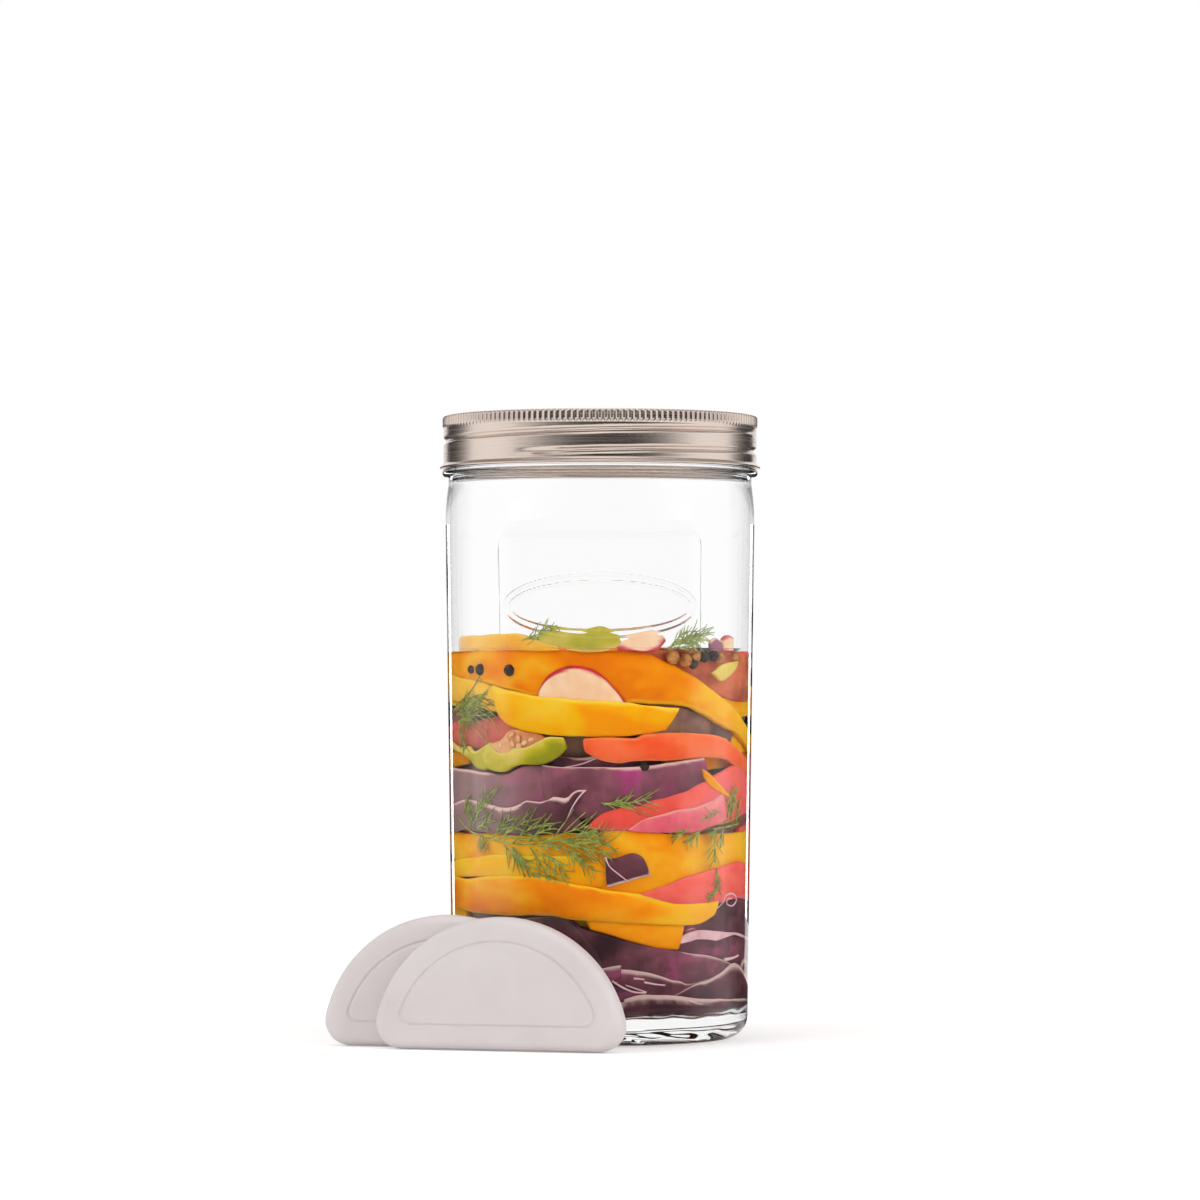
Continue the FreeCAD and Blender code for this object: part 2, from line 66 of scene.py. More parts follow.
FOOT_INNER = 35.9
FOOT_OUTER = 38.1
PUSH_UP = 3.5
HEEL = 7
BODY_FOOT = 45.1
BODY_TOP = 47.3
BODY_TOP_HEIGHT = 157
SHOULDER_TOP = 169
GROOVE_RADIUS = 46.4
BEAD_LOW = 171.5
BEAD_HALF = 1.1
BEAD_RADIUS = 48.4
BEAD_FOOT_RISE = 0.4
BEAD_FOOT_REACH = 0.3
NECK = 45.9
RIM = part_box("glass_jar")[1].z / MM
RIM_ROUND = 1.2
MOUTH = 42.9
MOUTH_LOW = 175
INSIDE_TOP_HEIGHT = 171
WALL = 3
FLOOR = 8
INNER_CORNER = 7
CORNER_MIDDLE = BODY_FOOT - WALL - INNER_CORNER
BRINE_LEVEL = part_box("brine")[1].z / MM
THREAD_PITCH = 6
THREAD_TURNS = 1.35

# Screw band

BAND_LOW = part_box("screw_band")[0].z / MM
BAND_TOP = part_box("screw_band")[1].z / MM
SHEET = 0.5
SKIRT = 47.95
FLANGE = 38.5
KNURL = 48.25
KNURL_HEIGHT = 3.4
KNURL_LOW = BAND_TOP - KNURL_HEIGHT
FLUTES = 170
FLARE = 49.1
FLARE_HEIGHT = 1.6
BAND_THREAD_DEPTH = 0.9


def smoothstep(low, high, value):
    share = min(max((value - low) / (high - low), 0), 1)
    return share * share * (3 - 2 * share)


def place(azimuth, radius, height):
    """A point at an azimuth round the jar's axis."""
    turn = math.radians(azimuth)
    return Vector((radius * math.sin(turn), -radius * math.cos(turn), height))


def body_radius(height):
    return BODY_FOOT + (BODY_TOP - BODY_FOOT) * (height - HEEL) / (BODY_TOP_HEIGHT - HEEL)


def wall_radius(height):
    """Radius of the inside of the glass, between its floor and its shoulder."""
    corner = FLOOR + INNER_CORNER
    foot = BODY_FOOT - WALL
    if height >= corner:
        return foot + (BODY_TOP - BODY_FOOT) * (height - corner) / (BODY_TOP_HEIGHT - corner)
    drop = min(corner - height, INNER_CORNER)
    return foot - INNER_CORNER + math.sqrt(INNER_CORNER**2 - drop**2)


def traced(*pixels):
    """Azimuths and heights on the inside of the glass of points in the photo."""
    places = []
    for x, y in pixels:
        sine = min(max((x - AXIS_PX) / HALF_WIDTH_PX, -1), 1)
        azimuth = math.degrees(math.asin(sine)) * INSIDE_STRETCH
        places.append((azimuth, CAMERA_HEIGHT + (LEVEL_PX - y) / PX_PER_MM))
    return places


# Mesh helpers

SPLINE_STEPS = 12


def curve(points, count):
    """This many points, evenly spaced, on a smooth curve through the given ones."""
    knots = [Vector(p) for p in points]
    knots = [knots[0]] + knots + [knots[-1]]
    dense = []
    for a, b, c, d in zip(knots, knots[1:], knots[2:], knots[3:]):
        for step in range(SPLINE_STEPS):
            t = step / SPLINE_STEPS
            square = a * 2 - b * 5 + c * 4 - d
            cube = b * 3 - a - c * 3 + d
            dense.append((b * 2 + (c - a) * t + square * t**2 + cube * t**3) / 2)
    dense.append(knots[-1])
    lengths = [0]
    for start, end in zip(dense, dense[1:]):
        lengths.append(lengths[-1] + (end - start).length)
    even = []
    segment = 0
    for i in range(count):
        target = lengths[-1] * i / (count - 1)
        while segment < len(dense) - 2 and lengths[segment + 1] < target:
            segment += 1
        span = lengths[segment + 1] - lengths[segment]
        share = (target - lengths[segment]) / span if span else 0
        even.append(dense[segment].lerp(dense[segment + 1], min(max(share, 0), 1)))
    return even


def arc(centre, radius, start, end, steps):
    """Points of a section round a centre, from one angle to another in degrees above straight out."""
    points = []
    for step in range(steps + 1):
        angle = math.radians(start + (end - start) * step / steps)
        points.append((centre[0] + radius * math.cos(angle), centre[1] + radius * math.sin(angle)))
    return points


def spread(low, high, step):
    """Values from low to high, both included, at most one step apart."""
    count = max(1, math.ceil((high - low) / step))
    return [low + (high - low) * i / count for i in range(count + 1)]


def stepped(start, *stretches):
    """Values from a start to the end of each stretch, at most that stretch's step apart."""
    values = [start]
    for end, step in stretches:
        values += spread(start, end, step)[1:]
        start = end
    return values


def full_turn(step):
    """Azimuths all round the axis, at most one step apart."""
    return spread(0, 360, step)[:-1]


def loft(loops):
    """Points and faces of a closed skin over rings of as many points each, capped by fans."""
    around = len(loops[0])
    points = [p for loop in loops for p in loop]
    faces = []
    for i in range(len(loops) - 1):
        for j in range(around):
            k = (j + 1) % around
            faces.append((i * around + j, i * around + k, (i + 1) * around + k, (i + 1) * around + j))
    for loop, first in ((loops[0], 0), (loops[-1], len(points) - around)):
        centre = len(points)
        points.append(sum(loop, Vector((0, 0, 0))) / around)
        for j in range(around):
            faces.append((centre, first + j, first + (j + 1) % around))
    return points, faces


def plain_turn(azimuth, radius, height, row):
    return place(azimuth, radius, height)


def lathe(rows, azimuths, shape=plain_turn, loop=False):
    """Points, faces and each face's row, swept round the axis.

    shape(azimuth, radius, height, row) gives a point. A row of radius 0 is a single point."""
    points = []
    starts = []
    for row, (radius, height) in enumerate(rows):
        starts.append(len(points))
        if radius == 0:
            points.append(Vector((0, 0, height)))
        else:
            points += [shape(azimuth, radius, height, row) for azimuth in azimuths]
    faces = []
    face_rows = []
    around = len(azimuths)
    pairs = list(zip(range(len(rows)), range(1, len(rows))))
    if loop:
        pairs.append((len(rows) - 1, 0))
    for low, high in pairs:
        for j in range(around):
            k = (j + 1) % around
            if rows[low][0] == 0:
                faces.append((starts[low], starts[high] + j, starts[high] + k))
            elif rows[high][0] == 0:
                faces.append((starts[low] + j, starts[low] + k, starts[high]))
            else:
                faces.append((starts[low] + j, starts[low] + k, starts[high] + k, starts[high] + j))
            face_rows.append(low)
    return points, faces, face_rows


def make_object(name, points, faces, looks, marks=None, face_slots=None, sharp=None):
    """A mesh object, with one look or several, marks that its materials read, and faces turned outward."""
    mesh = bpy.data.meshes.new(name)
    mesh.from_pydata([p * MM for p in points], [], faces)
    for look in looks:
        mesh.materials.append(LOOKS[look])
    if face_slots:
        mesh.polygons.foreach_set("material_index", face_slots)
    for mark, values in (marks or {}).items():
        mesh.attributes.new(mark, "FLOAT", "POINT").data.foreach_set("value", values)
    work = bmesh.new()
    work.from_mesh(mesh)
    bmesh.ops.recalc_face_normals(work, faces=work.faces)
    work.to_mesh(mesh)
    work.free()
    mesh.shade_smooth()
    if sharp:
        mesh.set_sharp_from_angle(angle=math.radians(sharp))
    piece = bpy.data.objects.new(name, mesh)
    bpy.context.scene.collection.objects.link(piece)
    return piece


def settle(piece, body, slot, *nodes):
    """Puts a piece on its body, and hides the CAD nodes that it stands for. Its slot is not used."""
    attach(piece, body)
    if nodes:
        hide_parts(*nodes)


def pack(name, form, look, slot, *nodes):
    """A piece of what the jar holds, from its points, faces and marks."""
    points, faces, marks = form
    settle(make_object(name, points, faces, [look], marks), "jar", slot, *nodes)


class Cluster:
    """Points, faces and marks of many small forms that make one piece."""

    def __init__(self):
        self.form = ([], [], {})

    def add(self, points, faces, marks):
        """Adds a form. Each mark is one value for all of it, or a list with one for each point."""
        all_points, all_faces, all_marks = self.form
        start = len(all_points)
        all_points.extend(points)
        all_faces.extend(tuple(start + i for i in face) for face in faces)
        for mark, value in marks.items():
            values = value if isinstance(value, list) else [value] * len(points)
            all_marks.setdefault(mark, []).extend(values)


# Shader nodes

WHITE = (1, 1, 1, 1)
NOISE_ROUGHNESS = 0.55
MIX_FACTOR, MIX_FIRST, MIX_SECOND, MIX_RESULT = 0, 6, 7, 2


def srgb(colour):
    """A shader's colour from the 0 to 255 numbers of a screen."""

    def linear(value):
        value /= 255
        return value / 12.92 if value <= 0.04045 else ((value + 0.055) / 1.055) ** 2.4

    return (*map(linear, colour), 1)


def dimmed(colour, share):
    return (*(channel * share for channel in colour[:3]), 1)


def add(tree, kind, inputs=None, **settings):
    """A new node. Each input is a value, or another node's output to link."""
    node = tree.nodes.new(kind)
    for key, value in settings.items():
        setattr(node, key, value)
    for key, value in (inputs or {}).items():
        if isinstance(value, bpy.types.NodeSocket):
            tree.links.new(value, node.inputs[key])
        else:
            node.inputs[key].default_value = value
    return node


def new_material(name, look, *values):
    """A material whose look, a function of its node tree and these values, gives its shader."""
    material = bpy.data.materials.new(name)
    material.use_nodes = True
    tree = material.node_tree
    tree.nodes.clear()
    add(tree, "ShaderNodeOutputMaterial", {"Surface": look(tree, *values)})
    return material


def calc(tree, operation, *values, clamp=False):
    inputs = dict(enumerate(values))
    return add(tree, "ShaderNodeMath", inputs, operation=operation, use_clamp=clamp).outputs[0]


def graded(tree, value, low, high, start=0.0, end=1.0, kind="LINEAR"):
    """A level that goes from low to high while a value goes from start to end."""
    inputs = {"Value": value, "From Min": start, "From Max": end, "To Min": low, "To Max": high}
    return add(tree, "ShaderNodeMapRange", inputs, interpolation_type=kind).outputs["Result"]


def object_spot(tree):
    return add(tree, "ShaderNodeTexCoord").outputs["Object"]


def world_spot(tree):
    return add(tree, "ShaderNodeNewGeometry").outputs["Position"]


def axes(tree, spot):
    return add(tree, "ShaderNodeSeparateXYZ", {"Vector": spot}).outputs


def length_of(tree, vector):
    return add(tree, "ShaderNodeVectorMath", {0: vector}, operation="LENGTH").outputs["Value"]


def noise_of(tree, scale, detail=3.0, stretch=(1, 1, 1)):
    """Noise on the object, whose places in metres are multiplied by a stretch along each axis."""
    spot = add(tree, "ShaderNodeMapping", {"Vector": object_spot(tree), "Scale": stretch}).outputs["Vector"]
    inputs = {"Vector": spot, "Scale": scale, "Detail": detail, "Roughness": NOISE_ROUGHNESS}
    return add(tree, "ShaderNodeTexNoise", inputs).outputs["Fac"]


def ramp(tree, factor, *stops):
    """Colours, or levels of grey, at places along a factor from 0 to 1."""
    node = add(tree, "ShaderNodeValToRGB", {"Fac": factor})
    elements = node.color_ramp.elements
    while len(elements) < len(stops):
        elements.new(1)
    for element, (position, colour) in zip(elements, stops):
        element.position = position
        element.color = colour if isinstance(colour, tuple) else (colour, colour, colour, 1)
    return node.outputs["Color"]


def mix(tree, factor, first, second, blend="MIX"):
    inputs = {MIX_FACTOR: factor, MIX_FIRST: first, MIX_SECOND: second}
    return add(tree, "ShaderNodeMix", inputs, data_type="RGBA", blend_type=blend).outputs[MIX_RESULT]


def mark_of(tree, name):
    return add(tree, "ShaderNodeAttribute", attribute_name=name).outputs["Fac"]


def bump(tree, height, strength, distance):
    inputs = {"Height": height, "Strength": strength, "Distance": distance}
    return add(tree, "ShaderNodeBump", inputs).outputs["Normal"]


def light_path(tree):
    return add(tree, "ShaderNodeLightPath").outputs


def principled(tree, inputs):
    return add(tree, "ShaderNodeBsdfPrincipled", inputs).outputs["BSDF"]


def emission(tree, strength, colour=WHITE):
    return add(tree, "ShaderNodeEmission", {"Color": colour, "Strength": strength}).outputs["Emission"]


def blended(tree, factor, first, second):
    return add(tree, "ShaderNodeMixShader", {0: factor, 1: first, 2: second}).outputs["Shader"]


# Looks: each gives the shader of a material, whose lengths are in metres

# Painted reflection veil: the pale colour that pieces turn towards on the left of the jar, how far in and how
# much
PAINTED_VEIL_COLOUR = (178, 152, 148)
PAINTED_VEIL_REACH = (-0.008, -0.04)
PAINTED_VEIL_MOST = 0.5
RADISH_FLESH = ((240, 186, 138), (252, 216, 178))
RADISH_RIND = ((178, 20, 42), (214, 40, 62))
PORCELAIN = ((212, 203, 202), (220, 212, 211))


def clear(tree):
    return add(tree, "ShaderNodeBsdfTransparent", {"Color": WHITE}).outputs["BSDF"]


def glass(tree, ior):
    """Clear glass that lets the lamps through to what it holds."""
    body = {"Base Color": WHITE, "Roughness": 0.0, "IOR": ior, "Transmission Weight": 1.0}
    bends = principled(tree, body)
    path = light_path(tree)
    lamps = calc(tree, "MAXIMUM", path["Is Shadow Ray"], path["Is Diffuse Ray"])
    return blended(tree, lamps, bends, clear(tree))


def painted_shade_down(tree, colour, foot):
    """A colour with painted shade that darkens from a piece's top edge to its lower one, to a share of its
    light.
    """
    shade = ramp(tree, mark_of(tree, "lean"), (0.05, 1.0), (0.5, 0.4 + 0.6 * foot), (0.95, foot))
    return mix(tree, 1.0, colour, shade, "MULTIPLY")


def toned(tree, factor):
    """A noise moved up or down by a piece's own tone at each place."""
    return calc(tree, "ADD", factor, mark_of(tree, "tone"))


def two_tone(tree, factor, tones, first=0.3, last=0.7):
    """Noise between two screen colours."""
    return ramp(tree, factor, (first, srgb(tones[0])), (last, srgb(tones[1])))


def pepper(tree, skin, deep, flesh):
    """Waxy pepper: mottled skin, faint fibres, paler flesh on its cut edges and painted shade towards its
    lower edge.
    """
    skin, deep, flesh = map(srgb, (skin, deep, flesh))
    mottle = toned(tree, noise_of(tree, scale=65, stretch=(1, 1, 1.8)))
    colour = ramp(tree, mottle, (0.3, deep), (0.5, skin), (0.76, flesh))
    fibres = ramp(tree, noise_of(tree, scale=900, detail=2.0, stretch=(1, 1, 0.12)), (0.3, 0.35), (0.7, 0.65))
    colour = mix(tree, 0.3, colour, fibres, "SOFT_LIGHT")
    colour = mix(tree, mark_of(tree, "rim"), colour, flesh)
    return principled(tree, {
        "Base Color": painted_shade_down(tree, colour, 0.9),
        "Roughness": 0.42,
        "Specular IOR Level": 0.04,
        "Subsurface Weight": 0.5,
        "Subsurface Radius": (1.0, 0.5, 0.2),
        "Subsurface Scale": 0.003,
        "Normal": bump(tree, noise_of(tree, scale=260), strength=0.25, distance=0.0006),
    })


def left_painted_veil(tree, colour):
    """A colour that turns hazy towards the left of the jar: a painted reflection veil."""
    share = graded(tree, axes(tree, object_spot(tree))["X"], 0.0, PAINTED_VEIL_MOST, *PAINTED_VEIL_REACH, "SMOOTHSTEP")
    return mix(tree, share, colour, srgb(PAINTED_VEIL_COLOUR))


def cabbage(tree, dark, face, bright, pale):
    """Red cabbage: dark bloomed leaf with magenta patches, pale where it is cut, with painted shade towards
    its lower edge and a painted reflection veil towards the left of the jar.
    """
    dark, face, bright, pale = map(srgb, (dark, face, bright, pale))
    patches = toned(tree, noise_of(tree, scale=75, detail=4.0, stretch=(1, 1, 1.6)))
    colour = ramp(tree, patches, (0.28, dark), (0.55, face), (0.74, bright))
    veins = noise_of(tree, scale=420, stretch=(1, 1, 0.25))
    colour = mix(tree, 0.35, colour, ramp(tree, veins, (0.35, 0.3), (0.7, 0.7)), "SOFT_LIGHT")
    colour = left_painted_veil(tree, painted_shade_down(tree, colour, 0.6))
    return principled(tree, {
        "Base Color": mix(tree, mark_of(tree, "rim"), colour, pale),
        "Roughness": 0.38,
        "Specular IOR Level": 0.08,
        "Normal": bump(tree, veins, strength=0.3, distance=0.0006),
    })


def radish(tree):
    """Radish slice: pale flesh with a red rind."""
    flesh = two_tone(tree, noise_of(tree, scale=120), RADISH_FLESH)
    rind = two_tone(tree, noise_of(tree, scale=300, detail=2.0), RADISH_RIND)
    colour = mix(tree, mark_of(tree, "rim"), flesh, rind)
    return principled(tree, {"Base Color": colour, "Roughness": 0.4, "Specular IOR Level": 0.25})


def speckled(tree, dark, light, scale, roughness, height):
    """A rough natural surface between two tones, shaded by each small form's own mark."""
    grain = noise_of(tree, scale=scale, detail=4.0)
    shade = ramp(tree, mark_of(tree, "shade"), (0, 0.38), (1, 0.62))
    return principled(tree, {
        "Base Color": mix(tree, 0.9, two_tone(tree, grain, (dark, light), 0.32, 0.68), shade, "SOFT_LIGHT"),
        "Roughness": roughness,
        "Specular IOR Level": 0.25,
        "Normal": bump(tree, grain, strength=0.4, distance=height),
    })


def brushed_steel(tree, colour, stretch, smooth, rough):
    """Stainless steel with fine lines along one direction."""
    colour = srgb(colour)
    lines = noise_of(tree, scale=1.0, detail=4.0, stretch=stretch)
    return principled(tree, {
        "Base Color": ramp(tree, lines, (0.25, dimmed(colour, 0.9)), (0.75, colour)),
        "Metallic": 1.0,
        "Roughness": ramp(tree, lines, (0.3, smooth), (0.7, rough)),
        "Normal": bump(tree, lines, strength=0.06, distance=0.0002),
    })


def spun_steel(tree, colour):
    """Steel sheet turned on a lathe, with rings round the axis."""
    colour = srgb(colour)
    apart = axes(tree, object_spot(tree))
    flat = add(tree, "ShaderNodeCombineXYZ", {"X": apart["X"], "Y": apart["Y"]}).outputs["Vector"]
    outward = add(tree, "ShaderNodeCombineXYZ", {"X": length_of(tree, flat)}).outputs["Vector"]
    rings = {"Vector": outward, "Scale": 2600.0, "Detail": 3.0}
    lines = add(tree, "ShaderNodeTexNoise", rings).outputs["Fac"]
    return principled(tree, {
        "Base Color": ramp(tree, lines, (0.25, dimmed(colour, 0.88)), (0.75, colour)),
        "Metallic": 1.0,
        "Roughness": ramp(tree, lines, (0.3, 0.2), (0.7, 0.36)),
        "Anisotropic": 0.7,
        "Tangent": add(tree, "ShaderNodeTangent", direction_type="RADIAL", axis="Z").outputs["Tangent"],
        "Normal": bump(tree, lines, strength=0.08, distance=0.0002),
    })


def ceramic(tree):
    """Unglazed satin porcelain with fine pits."""
    pits = ramp(tree, noise_of(tree, scale=1900, detail=2.0), (0.24, 0.0), (0.36, 1.0))
    grain = mix(tree, 0.35, noise_of(tree, scale=3200), pits)
    return principled(tree, {
        "Base Color": two_tone(tree, noise_of(tree, scale=45), PORCELAIN),
        "Roughness": 0.5,
        "Specular IOR Level": 0.4,
        "Normal": bump(tree, grain, strength=0.12, distance=0.0002),
    })


def silicone(tree, dark, light):
    return principled(tree, {
        "Base Color": two_tone(tree, noise_of(tree, scale=260), (dark, light)),
        "Roughness": 0.46,
        "Specular IOR Level": 0.4,
        "Subsurface Weight": 0.2,
        "Subsurface Radius": (0.002, 0.002, 0.002),
        "Normal": bump(tree, noise_of(tree, scale=2400, detail=2.0), strength=0.06, distance=0.0002),
    })


CLEAR_IOR = 1.5
BRINE_IOR = 1.34
STEEL = (231, 214, 203)
BRUSHED = (14, 14, 2600)

# Each row: material, its look and the values that the look takes

LOOK_ROWS = {
    "jar_glass": (glass, CLEAR_IOR),
    "wet_glass": (glass, CLEAR_IOR / BRINE_IOR),
    "brine": (glass, BRINE_IOR),
    "brine_side": (clear,),
    "band_steel": (brushed_steel, STEEL, BRUSHED, 0.17, 0.3),
    "disc_steel": (spun_steel, STEEL),
    "seal_silicone": (silicone, (222, 222, 218), (236, 236, 232)),
    "airlock_silicone": (silicone, (206, 209, 208), (226, 228, 226)),
    "weight_ceramic": (ceramic,),
    "pepper_orange": (pepper, (254, 152, 4), (240, 124, 0), (255, 190, 40)),
    "pepper_amber": (pepper, (255, 184, 40), (240, 160, 24), (255, 200, 84)),
    "pepper_coral": (pepper, (255, 114, 66), (252, 92, 46), (255, 134, 80)),
    "pepper_yellow": (pepper, (255, 186, 2), (255, 156, 0), (255, 208, 60)),
    "pepper_red": (pepper, (252, 112, 98), (240, 86, 74), (244, 108, 122)),
    # pepper_shade is a darker, duller copy of the red pepper, with painted shade
    "pepper_shade": (pepper, (222, 122, 84), (172, 84, 66), (226, 140, 96)),
    "pepper_pink": (pepper, (242, 122, 130), (232, 96, 114), (250, 166, 156)),
    "pepper_dull": (pepper, (216, 116, 98), (186, 84, 72), (216, 130, 110)),
    "pepper_green": (pepper, (194, 180, 38), (158, 154, 34), (232, 206, 110)),
    "pepper_flesh": (pepper, (236, 170, 118), (210, 128, 84), (246, 200, 150)),
    "red_cabbage": (cabbage, (96, 52, 62), (146, 84, 98), (178, 70, 122), (228, 190, 182)),
    # cabbage_bed is a darker copy of red_cabbage, with painted shade, such as the weights' shadow on the bed
    "cabbage_bed": (cabbage, (56, 28, 36), (116, 66, 76), (176, 78, 122), (204, 172, 164)),
    # core: greyed browns, partly the deeper vegetables' colour and partly painted haze and shade of the gaps
    # between pieces
    "core": (cabbage, (112, 82, 76), (168, 128, 110), (194, 146, 106), (150, 100, 84)),
    "radish": (radish,),
    "dill": (speckled, (104, 118, 40), (172, 184, 92), 500, 0.5, 0.0003),
    "peppercorn": (speckled, (22, 18, 16), (72, 56, 46), 700, 0.6, 0.0006),
    "coriander": (speckled, (146, 86, 36), (214, 150, 80), 600, 0.6, 0.0005),
    "pepper_seed": (speckled, (222, 168, 118), (242, 198, 150), 500, 0.45, 0.0002),
    "cabbage_edge": (speckled, (214, 164, 170), (236, 200, 200), 300, 0.45, 0.0002),
}
LOOKS = {name: new_material(name, *row) for name, row in LOOK_ROWS.items()}

# Glass jar: columns close together across the front panel and the back frame's upright lines

BEAD_TOP = BEAD_LOW + BEAD_HALF * 2
RIM_LOW = RIM - RIM_ROUND
PANEL_MIDDLE = 131
PANEL_HALF_WIDTH = 31
PANEL_HALF_HEIGHT = 9.6
PANEL_LINE = 0.62
PANEL_STEP = 2.1
PANEL_RELIEF = 0.45
PANEL_REACH = 42
OVAL_NEAR = 0.2
OVAL_FAR = 2
FRAME_HALF_WIDTH = 37.5
FRAME_LOW = 42
FRAME_HIGH = 155.6
FRAME_CORNER = 5
FRAME_LINE = 0.8
FRAME_RELIEF = 0.28
FRAME_WORN = 0.6
FRAME_WORN_SIZE = 6
FINE_TURN = 0.36
COARSE_TURN = 2.0
FINE_RISE = 0.36
COARSE_RISE = 6.0
NECK_RISE = 0.55
SHOULDER_RISE = 4
INSIDE_RISE = 5
JAR_THREAD_START = -170
JAR_THREAD_LOW = 177.15
JAR_THREAD_CREST = 1.3
JAR_THREAD_BASE = 3.0
JAR_THREAD_TIP = 1.2
THREAD_FADE = 14
STIPPLES = 90
STIPPLE_RISE = 0.35
WALL_WAVE = 0.07
WALL_WAVE_SIZE = 14
BASE_WAVE = 0.8
BASE_WAVE_SIZE = 7
WET_MARGIN = 0.1


def jar_columns():
    sizes = (FRAME_HALF_WIDTH, FRAME_CORNER, FRAME_LINE)
    upright, corner, near = (math.degrees(size / BODY_TOP) for size in sizes)
    left = 180 - upright
    right = 180 + upright
    return stepped(
        -PANEL_REACH, (PANEL_REACH, FINE_TURN), (left - near, COARSE_TURN), (left + near, FINE_TURN),
        (left + corner, FINE_TURN * 2), (right - corner, COARSE_TURN), (right - near, FINE_TURN * 2),
        (right + near, FINE_TURN), (360 - PANEL_REACH, COARSE_TURN)
    )[:-1]


def line_bump(distance, half_width):
    """A rounded ridge, from 1 on its line to 0 at its edge."""
    share = min(abs(distance) / half_width, 1)
    return (1 - share * share) ** 2


def panel_relief(azimuth, height):
    """Two raised ovals, one inside the other, on the front of the glass."""
    across = math.radians((azimuth + 180) % 360 - 180) * BODY_TOP / PANEL_HALF_WIDTH
    up = (height - PANEL_MIDDLE) / PANEL_HALF_HEIGHT
    reach = math.hypot(across, up)
    if not OVAL_NEAR <= reach <= OVAL_FAR:
        return 0
    steep = math.hypot(across / PANEL_HALF_WIDTH, up / PANEL_HALF_HEIGHT) / reach
    distance = (reach - 1) / steep
    return PANEL_RELIEF * max(line_bump(distance, PANEL_LINE), line_bump(distance + PANEL_STEP, PANEL_LINE))


def frame_relief(azimuth, height):
    """A plain raised frame with round corners, for a label on the back."""
    across = math.radians(azimuth % 360 - 180) * BODY_TOP
    middle = (FRAME_LOW + FRAME_HIGH) / 2
    out_x = abs(across) - (FRAME_HALF_WIDTH - FRAME_CORNER)
    out_z = abs(height - middle) - ((FRAME_HIGH - FRAME_LOW) / 2 - FRAME_CORNER)
    outside = math.hypot(max(out_x, 0), max(out_z, 0)) + min(max(out_x, out_z), 0)
    worn = 1 + FRAME_WORN * noise.noise(Vector((across, height, 0)) / FRAME_WORN_SIZE)
    return FRAME_RELIEF * worn * line_bump(outside - FRAME_CORNER, FRAME_LINE)


def ridge(azimuth, height, start, low, base, tip, fade):
    """How much of a screw ridge's full height stands at a place: 1 on its crest and 0 beside it."""
    whole = THREAD_TURNS * 360
    best = 0
    for lap in range(math.ceil(THREAD_TURNS)):
        turn = (azimuth - start) % 360 + 360 * lap
        if turn > whole:
            continue
        off = abs(height - low - THREAD_PITCH * turn / 360)
        share = min(max((base / 2 - off) / ((base - tip) / 2), 0), 1)
        best = max(best, share * (smoothstep(0, fade, turn) * smoothstep(0, fade, whole - turn)))
    return best


def jar_outside():
    """The section's outside, from the middle of the push-up to the rim."""
    rows = [(0, PUSH_UP)]
    rows += [(FOOT_INNER * share, PUSH_UP * (1 - share * share)) for share in spread(0.1, 1, 0.1)]
    rows += [(FOOT_INNER + (FOOT_OUTER - FOOT_INNER) * share, 0) for share in (0.35, 0.7)]
    rows += arc((FOOT_OUTER, HEEL), HEEL, -90, 0, 9)
    panel_half = PANEL_HALF_HEIGHT + PANEL_LINE
    heights = stepped(
        HEEL, (FRAME_LOW - FRAME_LINE, COARSE_RISE), (FRAME_LOW + FRAME_LINE, FINE_RISE),
        (FRAME_LOW + FRAME_CORNER, FINE_RISE * 2), (PANEL_MIDDLE - panel_half, COARSE_RISE),
        (PANEL_MIDDLE + panel_half, FINE_RISE), (FRAME_HIGH - FRAME_CORNER, COARSE_RISE / 2),
        (FRAME_HIGH - FRAME_LINE, FINE_RISE * 2), (FRAME_HIGH + FRAME_LINE, FINE_RISE),
        (BODY_TOP_HEIGHT, FINE_RISE * 4)
    )
    rows += [(body_radius(height), height) for height in heights[1:]]
    drop = BODY_TOP - GROOVE_RADIUS
    rise = SHOULDER_TOP - BODY_TOP_HEIGHT
    for share in spread(0.15, 1, 0.15):
        rows.append((BODY_TOP - drop * share**2, BODY_TOP_HEIGHT + rise * share))
    rows.append((GROOVE_RADIUS, BEAD_LOW - BEAD_FOOT_RISE))
    rows.append((GROOVE_RADIUS + BEAD_FOOT_REACH, BEAD_LOW))
    rows += arc((BEAD_RADIUS - BEAD_HALF, BEAD_LOW + BEAD_HALF), BEAD_HALF, -90, 90, 8)
    rows.append((NECK + BEAD_FOOT_REACH, BEAD_TOP))
    rows += [(NECK, height) for height in spread(BEAD_TOP + BEAD_FOOT_RISE, RIM_LOW, NECK_RISE)]
    rows += arc((NECK - RIM_ROUND, RIM_LOW), RIM_ROUND, 0, 90, 5)[1:]
    return rows


def inside_wall():
    """The section's inside, from the rim down to the middle of the floor."""
    corner = FLOOR + INNER_CORNER
    step_in = BODY_TOP - WALL - MOUTH
    step_down = MOUTH_LOW - INSIDE_TOP_HEIGHT
    rows = arc((MOUTH + RIM_ROUND, RIM_LOW), RIM_ROUND, 90, 180, 5)
    rows += [(MOUTH, height) for height in spread(MOUTH_LOW, RIM_LOW, INSIDE_RISE)[-2::-1]]
    for share in spread(0, 0.9, 0.15)[::-1]:
        rows.append((MOUTH + step_in * (1 - share * share), INSIDE_TOP_HEIGHT + step_down * share))
    straight = spread(BODY_TOP_HEIGHT, INSIDE_TOP_HEIGHT, SHOULDER_RISE)
    rows += [(BODY_TOP - WALL, height) for height in straight[-2::-1]]
    heights = stepped(corner, (BRINE_LEVEL, INSIDE_RISE), (BODY_TOP_HEIGHT, INSIDE_RISE))
    rows += [(wall_radius(height), height) for height in heights[-2::-1]]
    rows += arc((CORNER_MIDDLE, corner), INNER_CORNER, 0, -90, 9)[1:]
    rows += [(CORNER_MIDDLE * share, FLOOR) for share in spread(0.1, 0.9, 0.1)[::-1]]
    rows.append((0, FLOOR))
    return rows


